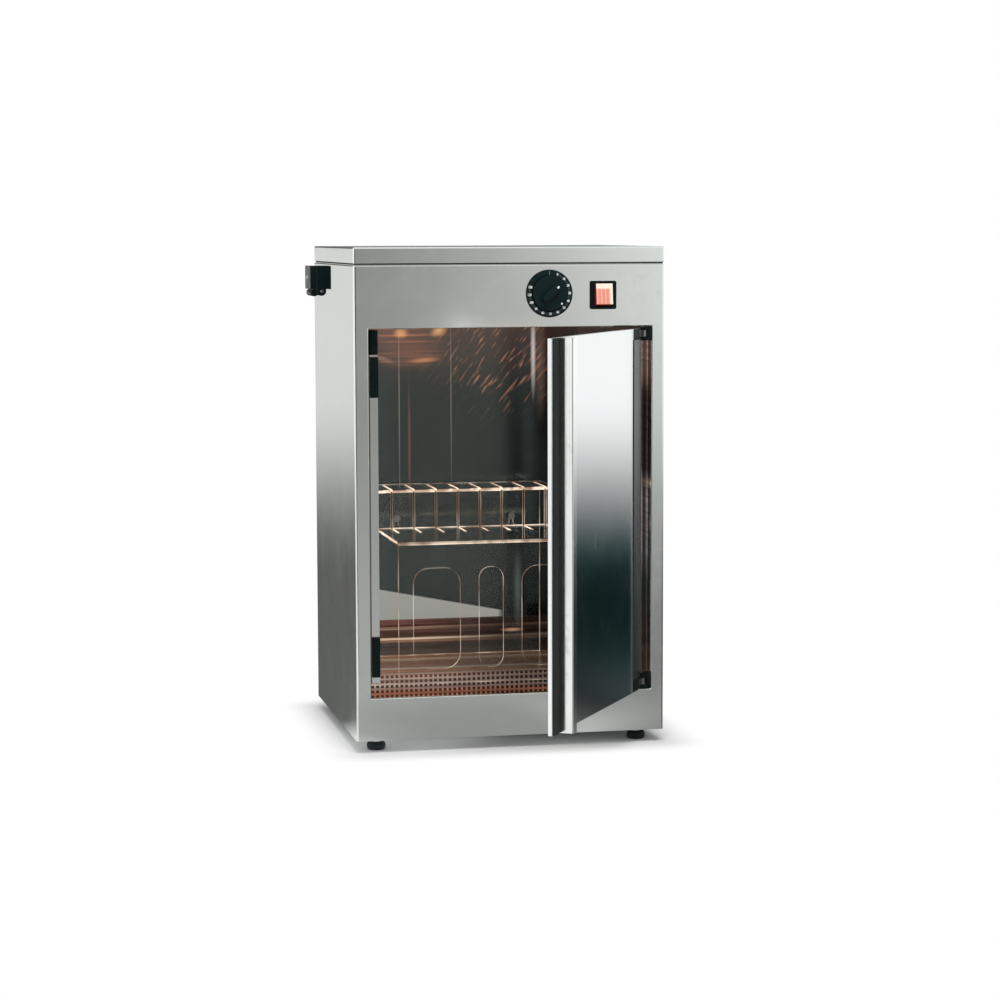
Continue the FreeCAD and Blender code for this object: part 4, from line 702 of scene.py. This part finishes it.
black_plastic = plastic("black_plastic", (0.004, 0.010, 0.010), (0.002, 0.007, 0.007), 0.28, 0.44,
                        gloss=0.1)
for name in ("hinge_block_top", "hinge_block_bottom", "door_switch", "rocker_housing", "inlet_base"):
    eased(name, 0.5, black_plastic, "cabinet")
dress(black_plastic, "hinge_cap_top", "hinge_cap_bottom", "timer_body", "ballast", "magnet_bar_top",
      "magnet_bar_bottom", "door_switch_plunger")

# Inlet cover: the outer shell of the box, with a painted grey highlight on its outer face, and held by bright
# screws. The box is left out of what the side of the case mirrors, as if the satin there were too dull for it
SHEEN_GREY, FACING_OUT = (0.085, 0.095, 0.095, 1), (-0.6, -0.9)


def facing_of(tree):
    """The way a face of the piece looks, as three numbers: to the right, to the back and up."""
    normal = wire(tree, "ShaderNodeTexCoord").outputs["Normal"]
    return wire(tree, "ShaderNodeSeparateXYZ", {0: normal}).outputs


cover_plastic = plastic("cover_plastic", (0.004, 0.010, 0.010), (0.002, 0.007, 0.007), 0.34, 0.5,
                        grain=1200.0, gloss=0.1)
tree = cover_plastic.node_tree
colour = tree.nodes["Principled BSDF"].inputs["Base Color"]
# Painted highlight: the faces turned to the left go grey
sheen_mask = rise(tree, facing_of(tree)["X"], *FACING_OUT)
tree.links.new(blend_of(tree, sheen_mask, colour.links[0].from_socket, SHEEN_GREY), colour)
for inlet_part in (eased("inlet_cover", 0.5, cover_plastic, "cabinet"),
                   bpy.data.objects["inlet_base_moulding"], nodes["inlet_screws"]):
    inlet_part.visible_glossy = False

# Pull insert: an extruded rubber strip with ribs along it, pressed into the recess of the pull. Its colour
# and sheen vary a little at random
insert_rubber = plastic("insert_rubber", (0.030, 0.036, 0.035), (0.016, 0.021, 0.021), 0.38, 0.55,
                        grain=900.0, depth=1.2e-5, gloss=0.35)
dress(insert_rubber, "grip_insert")

# Foot pads: moulded rubber discs on the four stems, which screw up and down to level the cabinet.
# Each has a soft lower edge and a rounded shoulder
PAD_PROFILE = ((7.4, 0.0), (8.5, 0.35), (9.3, 1.2), (9.8, 2.5), (10.0, 4.0), (9.95, 5.3), (9.6, 6.5),
               (8.9, 7.5), (7.9, 8.15), (6.8, 8.4), (5.4, 8.4), (3.2, 8.3))


def turned(profile, middle, out, sides=48):
    """Rings of a turned part: each (radius, height) of the profile goes once round the axis, which
    runs out from the middle."""
    out = np.array(out, float)
    side = np.array([out[2], out[0], out[1]])
    other = np.cross(out, side)
    far_out, height = np.array(profile, float).T
    turn = np.linspace(0, 2 * math.pi, sides, endpoint=False)
    spokes = np.outer(np.cos(turn), side) + np.outer(np.sin(turn), other)
    spots = np.array(middle, float) + height[:, None, None] * out + far_out[:, None, None] * spokes[None]
    return at(*np.moveaxis(spots, -1, 0))


pad_rubber = plastic("pad_rubber", (0.012, 0.020, 0.020), (0.006, 0.012, 0.012), 0.45, 0.65,
                     grain=900.0, depth=1.5e-5, gloss=0.2)
for foot in FEET:
    low, high = reach_of(f"foot_pad_{foot}")
    middle = ((low[0] + high[0]) / 2, (low[1] + high[1]) / 2, 0)
    pad = surface(f"pad_{foot}", [turned(PAD_PROFILE, middle, (0, 0, 1))])
    pad.data.materials.append(pad_rubber)
    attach(pad, f"foot_{foot}")
    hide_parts(f"foot_pad_{foot}")

# Timer scale ring: a black moulded ring with a soft outer edge, fixed to the fascia round the knob. It
# carries the printed scale
dial_x, dial_z = 205.8, 477.0
RING_THICK = 1.5
RING_PROFILE = ((18.6, 0.0), (24.4, 0.0), (24.8, 0.3), (24.8, 1.0), (24.45, 1.4), (23.9, RING_THICK),
                (18.9, RING_THICK), (18.6, 1.2), (18.6, 0.4))
dial_plastic = plastic("dial_plastic", (0.004, 0.016, 0.017), (0.002, 0.010, 0.011), 0.34, 0.48,
                       grain=1500.0, gloss=0.15)
ring = surface("scale_ring", [turned(RING_PROFILE, (dial_x, 0, dial_z), (0, -1, 0), 96)])
ring.data.materials.append(dial_plastic)
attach(ring, "cabinet")
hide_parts("timer_scale_ring")

# Figures and marks of the scale: the minutes from 0 to 120, printed in white ink, with grey marks
# between them and an index line at the top
FIGURE_RADIUS, FIGURE_SIZE, FIRST_FIGURE, FIGURE_STEP = 21.4, 3.5, 23.5, 22.04
FIGURE_BOLD, FIGURE_NARROW, FIGURE_SPACING, INK = 0.13, 0.86, 0.95, 0.04
ink_points, ink_faces = [], []
for count in range(13):
    text = bpy.data.curves.new("figure", "FONT")
    text.body, text.size = str(10 * count), FIGURE_SIZE
    text.align_x = text.align_y = "CENTER"
    text.extrude, text.offset, text.resolution_u = INK / 2, FIGURE_BOLD, 3
    text.space_character = FIGURE_SPACING
    shown = bpy.data.objects.new("figure", text)
    scene.collection.objects.link(shown)
    bpy.context.view_layer.update()
    drawn = bpy.data.meshes.new_from_object(shown)
    spots = np.empty(len(drawn.vertices) * 3)
    drawn.vertices.foreach_get("co", spots)
    spots = spots.reshape(-1, 3)
    lean = math.radians(FIRST_FIGURE + FIGURE_STEP * count)
    first = sum(len(group) for group in ink_points)
    ink_points.append(at(dial_x + FIGURE_RADIUS * math.sin(lean) + spots[:, 0] * FIGURE_NARROW,
                         -RING_THICK - spots[:, 2],
                         dial_z + FIGURE_RADIUS * math.cos(lean) + spots[:, 1]))
    corners, starts = np.empty(len(drawn.loops), int), np.empty(len(drawn.polygons), int)
    drawn.loops.foreach_get("vertex_index", corners)
    drawn.polygons.foreach_get("loop_start", starts)
    ink_faces += [face.tolist() for face in np.split(corners + first, starts[1:])]
    bpy.data.objects.remove(shown)
    bpy.data.curves.remove(text)
    bpy.data.meshes.remove(drawn)
mesh = bpy.data.meshes.new("scale_figures")
mesh.from_pydata(np.concatenate(ink_points).tolist(), [], ink_faces)
figures = bpy.data.objects.new("scale_figures", mesh)
scene.collection.objects.link(figures)
white_ink = plastic("white_ink", (0.90, 0.91, 0.90), (0.80, 0.82, 0.81), 0.5, 0.65, grain=4000.0,
                    depth=2e-6)
mesh.materials.append(white_ink)
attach(figures, "cabinet")


def mark(radius_from, radius_to, degrees, width, front, thick=INK):
    """A thin printed bar along a radius of the dial: two rings of four corners."""
    lean = math.radians(degrees)
    run = np.array([radius_from, radius_from, radius_to, radius_to])
    off = np.array([-width / 2, width / 2, width / 2, -width / 2])
    x = dial_x + run * math.sin(lean) + off * math.cos(lean)
    z = dial_z + run * math.cos(lean) - off * math.sin(lean)
    return np.stack([at(x, -front, z), at(x, -front - thick, z)])


MARK_FROM, MARK_TO, MARK_WIDTH = 20.2, 22.4, 0.32
INDEX_FROM, INDEX_TO, INDEX_WIDTH = 19.0, 23.6, 0.75
marks = surface("scale_marks",
                [mark(MARK_FROM, MARK_TO, FIRST_FIGURE + FIGURE_STEP * (count + part / 5), MARK_WIDTH,
                      RING_THICK) for count in range(12) for part in (1, 2, 3, 4)])
grey_ink = plastic("grey_ink", (0.16, 0.19, 0.19), (0.10, 0.13, 0.13), 0.5, 0.65, grain=4000.0, depth=2e-6)
marks.data.materials.append(grey_ink)
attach(marks, "cabinet")
index = surface("scale_index", [mark(INDEX_FROM, INDEX_TO, 0, INDEX_WIDTH, RING_THICK)])
index.data.materials.append(grey_ink)
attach(index, "cabinet")

# Timer knob: a moulded disc with a finger bar across it. The bar's plan is a superellipse of the
# third power that draws in a little with height, and its top edge is a quarter round
KNOB_BACK, DISC, BAR_LENGTH, BAR_WIDTH, BAR_HEIGHT, KNOB_TURN = 1.8, 3.0, 23.0, 8.5, 9.0, 45.5
EDGE_ROUND, PLAN_POWER = 1.1, 2 / 3.0
disc = turned(((17.9, 0.0), (18.2, 0.3), (18.2, 2.3), (18.05, 2.65), (17.7, 2.9), (17.1, DISC), (0.05, DISC)),
              (dial_x, -KNOB_BACK, dial_z), (0, -1, 0), 96)
sweep = np.linspace(0, math.pi / 2, 6)
rings = np.concatenate([[(0.0, 0.0), (0.15, 0.25 * BAR_HEIGHT), (0.35, 0.6 * BAR_HEIGHT)],
                        np.stack([0.5 + EDGE_ROUND * (1 - np.cos(sweep)),
                                  BAR_HEIGHT - EDGE_ROUND * (1 - np.sin(sweep)) - 0.05], -1)])
turn = np.linspace(0, 2 * math.pi, 64, endpoint=False)
plan_along = np.sign(np.cos(turn)) * np.abs(np.cos(turn)) ** PLAN_POWER
plan_across = np.sign(np.sin(turn)) * np.abs(np.sin(turn)) ** PLAN_POWER
bar_along = (BAR_LENGTH / 2 - rings[:, :1]) * plan_along
bar_across = (BAR_WIDTH / 2 - rings[:, :1]) * plan_across
lean = math.radians(KNOB_TURN)
bar = at(dial_x + bar_along * math.sin(lean) + bar_across * math.cos(lean),
         -KNOB_BACK - DISC - rings[:, 1:] + 0 * bar_along,
         dial_z + bar_along * math.cos(lean) - bar_across * math.sin(lean))
knob = surface("knob_moulding", [disc, bar])
knob.data.materials.append(dial_plastic)
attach(knob, "timer_knob")
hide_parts("timer_knob")

# Pointer of the knob: a white line printed at the upper tip of the bar, and a white dot printed near
# the disc's rim
POINTER_FROM, POINTER_TO, POINTER_WIDTH, POINTER_BELOW, POINTER_THICK = 8.0, 10.6, 1.7, 0.4, 0.39
DOT_RADIUS, DOT_PLACE, DOT_TURN = 1.0, 16.4, math.radians(130.6)
dot = turned(((DOT_RADIUS, -0.1), (DOT_RADIUS, INK), (0.02, INK)),
             (dial_x + DOT_PLACE * math.sin(DOT_TURN), -KNOB_BACK - DISC,
              dial_z + DOT_PLACE * math.cos(DOT_TURN)), (0, -1, 0), 24)
pointer = surface("knob_pointer",
                  [mark(POINTER_FROM, POINTER_TO, KNOB_TURN, POINTER_WIDTH,
                        KNOB_BACK + DISC + BAR_HEIGHT - POINTER_BELOW, POINTER_THICK), dot])
pointer.data.materials.append(white_ink)
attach(pointer, "timer_knob")

# Rocker: a clear red lens over a neon lamp. Its light is painted: the face glows salmon with paler bars,
# its top and right edge carry a painted cream highlight, and its sides are painted deep red as shade
ROCKER_X, ROCKER_Z, BAR_WAVE = 263.4, 475.0, 1450.0
SALMON, PALE_BAR, LENS_CREAM = (0.62, 0.215, 0.155, 1), (0.70, 0.34, 0.26, 1), (0.70, 0.62, 0.52, 1)
DEEP_RED, CREAM_SIDE, CREAM_TOP = (0.16, 0.012, 0.012, 1), (0.0052, 0.0066), (0.0056, 0.0078)
lens_red = bpy.data.materials.new("lens_red")
lens_red.use_nodes = True
tree = lens_red.node_tree
bsdf = tree.nodes["Principled BSDF"]
place, side, _, up = object_place(tree)
middle = at(ROCKER_X, 0, ROCKER_Z)
front = rise(tree, facing_of(tree)["Y"], -0.35, -0.8)
off_side = sum_of(tree, side, float(middle[0]), "SUBTRACT")
off_up = sum_of(tree, up, float(middle[2]), "SUBTRACT")
wave = wire(tree, "ShaderNodeMath", {0: product_of(tree, off_side, BAR_WAVE)}, operation="SINE").outputs[0]
# Painted cream highlight along the top and the right edge
cream = sum_of(tree, rise(tree, off_side, *CREAM_SIDE), rise(tree, off_up, *CREAM_TOP), "MAXIMUM")
cloud = noise_of(tree, place, 330.0)
creamy = blend_of(tree, cream, blend_of(tree, rise(tree, wave, 0.1, 1.0), SALMON, PALE_BAR), LENS_CREAM)
# Painted shade: faces that do not look forward stay deep red
painted_lens = blend_of(tree, front, DEEP_RED, creamy)
tree.links.new(painted_lens, bsdf.inputs["Base Color"])
tree.links.new(vector_of(tree, painted_lens, rise(tree, cloud, 0.3, 0.7, 0.28, 0.4)), bsdf.inputs["Emission Color"])
tree.links.new(rise(tree, cloud, 0.3, 0.7, 0.12, 0.22), bsdf.inputs["Roughness"])
bsdf.inputs["Emission Strength"].default_value = 1.0
eased("rocker_button", 0.7, lens_red, "rocker")

# Blade rack: one sheet of 3 mm clear acrylic, bent to two treads with slots. Its broad faces vanish,
# so its index is set low, and its sawn and polished edges and its bends carry painted warm highlights
FRONT_TREAD, TREAD_LIGHT = 0.213, 0.012
EDGE_DARK, EDGE_PALE = (0.24, 0.145, 0.095, 1), (0.74, 0.60, 0.48, 1)
acrylic = bpy.data.materials.new("clear_acrylic")
acrylic.use_nodes = True
tree = acrylic.node_tree
bsdf = tree.nodes["Principled BSDF"]
place, _, _, up = object_place(tree)
rightwards, _, above = facing_of(tree)
sideways = rise(tree, sum_of(tree, rightwards, 0.0, "MAXIMUM"), 0.35, 0.8)
leftways = rise(tree, rightwards, -0.35, -0.8)
upways = wire(tree, "ShaderNodeMath", {0: above}, operation="ABSOLUTE").outputs[0]
below_tread = rise(tree, up, FRONT_TREAD - TREAD_LIGHT, FRONT_TREAD - TREAD_LIGHT + 0.002, 1, 0)
in_window = product_of(tree, rise(tree, upways, 0.3, 0.7), below_tread)
bend = product_of(tree, rise(tree, upways, 0.10, 0.3), rise(tree, upways, 0.85, 0.98, 1, 0))
# Painted highlights: the sawn edges, the level edges of the windows below the front tread and the bends glow
# warm
cut = sum_of(tree, sum_of(tree, sideways, leftways, "MAXIMUM"), sum_of(tree, in_window, bend, "MAXIMUM"),
             "MAXIMUM")
gleam = noise_of(tree, vector_of(tree, place, (40, 40, 22)))
edge_light = blend_of(tree, rise(tree, gleam, 0.42, 0.62), EDGE_DARK, EDGE_PALE)
scuffs = noise_of(tree, place, 30.0, 1.0)
tree.links.new(vector_of(tree, edge_light, cut), bsdf.inputs["Emission Color"])
tree.links.new(rise(tree, scuffs, 0.4, 0.8, 0.004, 0.02), bsdf.inputs["Roughness"])
for label, value in (("Base Color", (0.985, 0.99, 0.985, 1)), ("IOR", 1.17), ("Transmission Weight", 1.0),
                     ("Emission Strength", 0.9)):
    bsdf.inputs[label].default_value = value
dress(acrylic, "blade_rack")

# White mouldings: the lamp's two holders in the chamber, and the starter's socket and the terminal
# block on the ceiling tray, of white ceramic or hard plastic
white_plastic = plastic("white_plastic", (0.78, 0.78, 0.75), (0.66, 0.66, 0.62), 0.30, 0.42)
dress(white_plastic, "lamp_holder_left", "lamp_holder_right", "starter_socket", "terminal_block")

# Lamp: a quartz tube behind the head of the opening, held between its two holders. It is lit, and
# gives off a warm light
quartz = plastic("quartz", (0.9, 0.85, 0.8), (0.85, 0.8, 0.75), 0.1, 0.15, depth=0.0)
bsdf = quartz.node_tree.nodes["Principled BSDF"]
bsdf.inputs["Emission Color"].default_value = (1.0, 0.62, 0.38, 1)
bsdf.inputs["Emission Strength"].default_value = 1.6
dress(quartz, "lamp_tube")
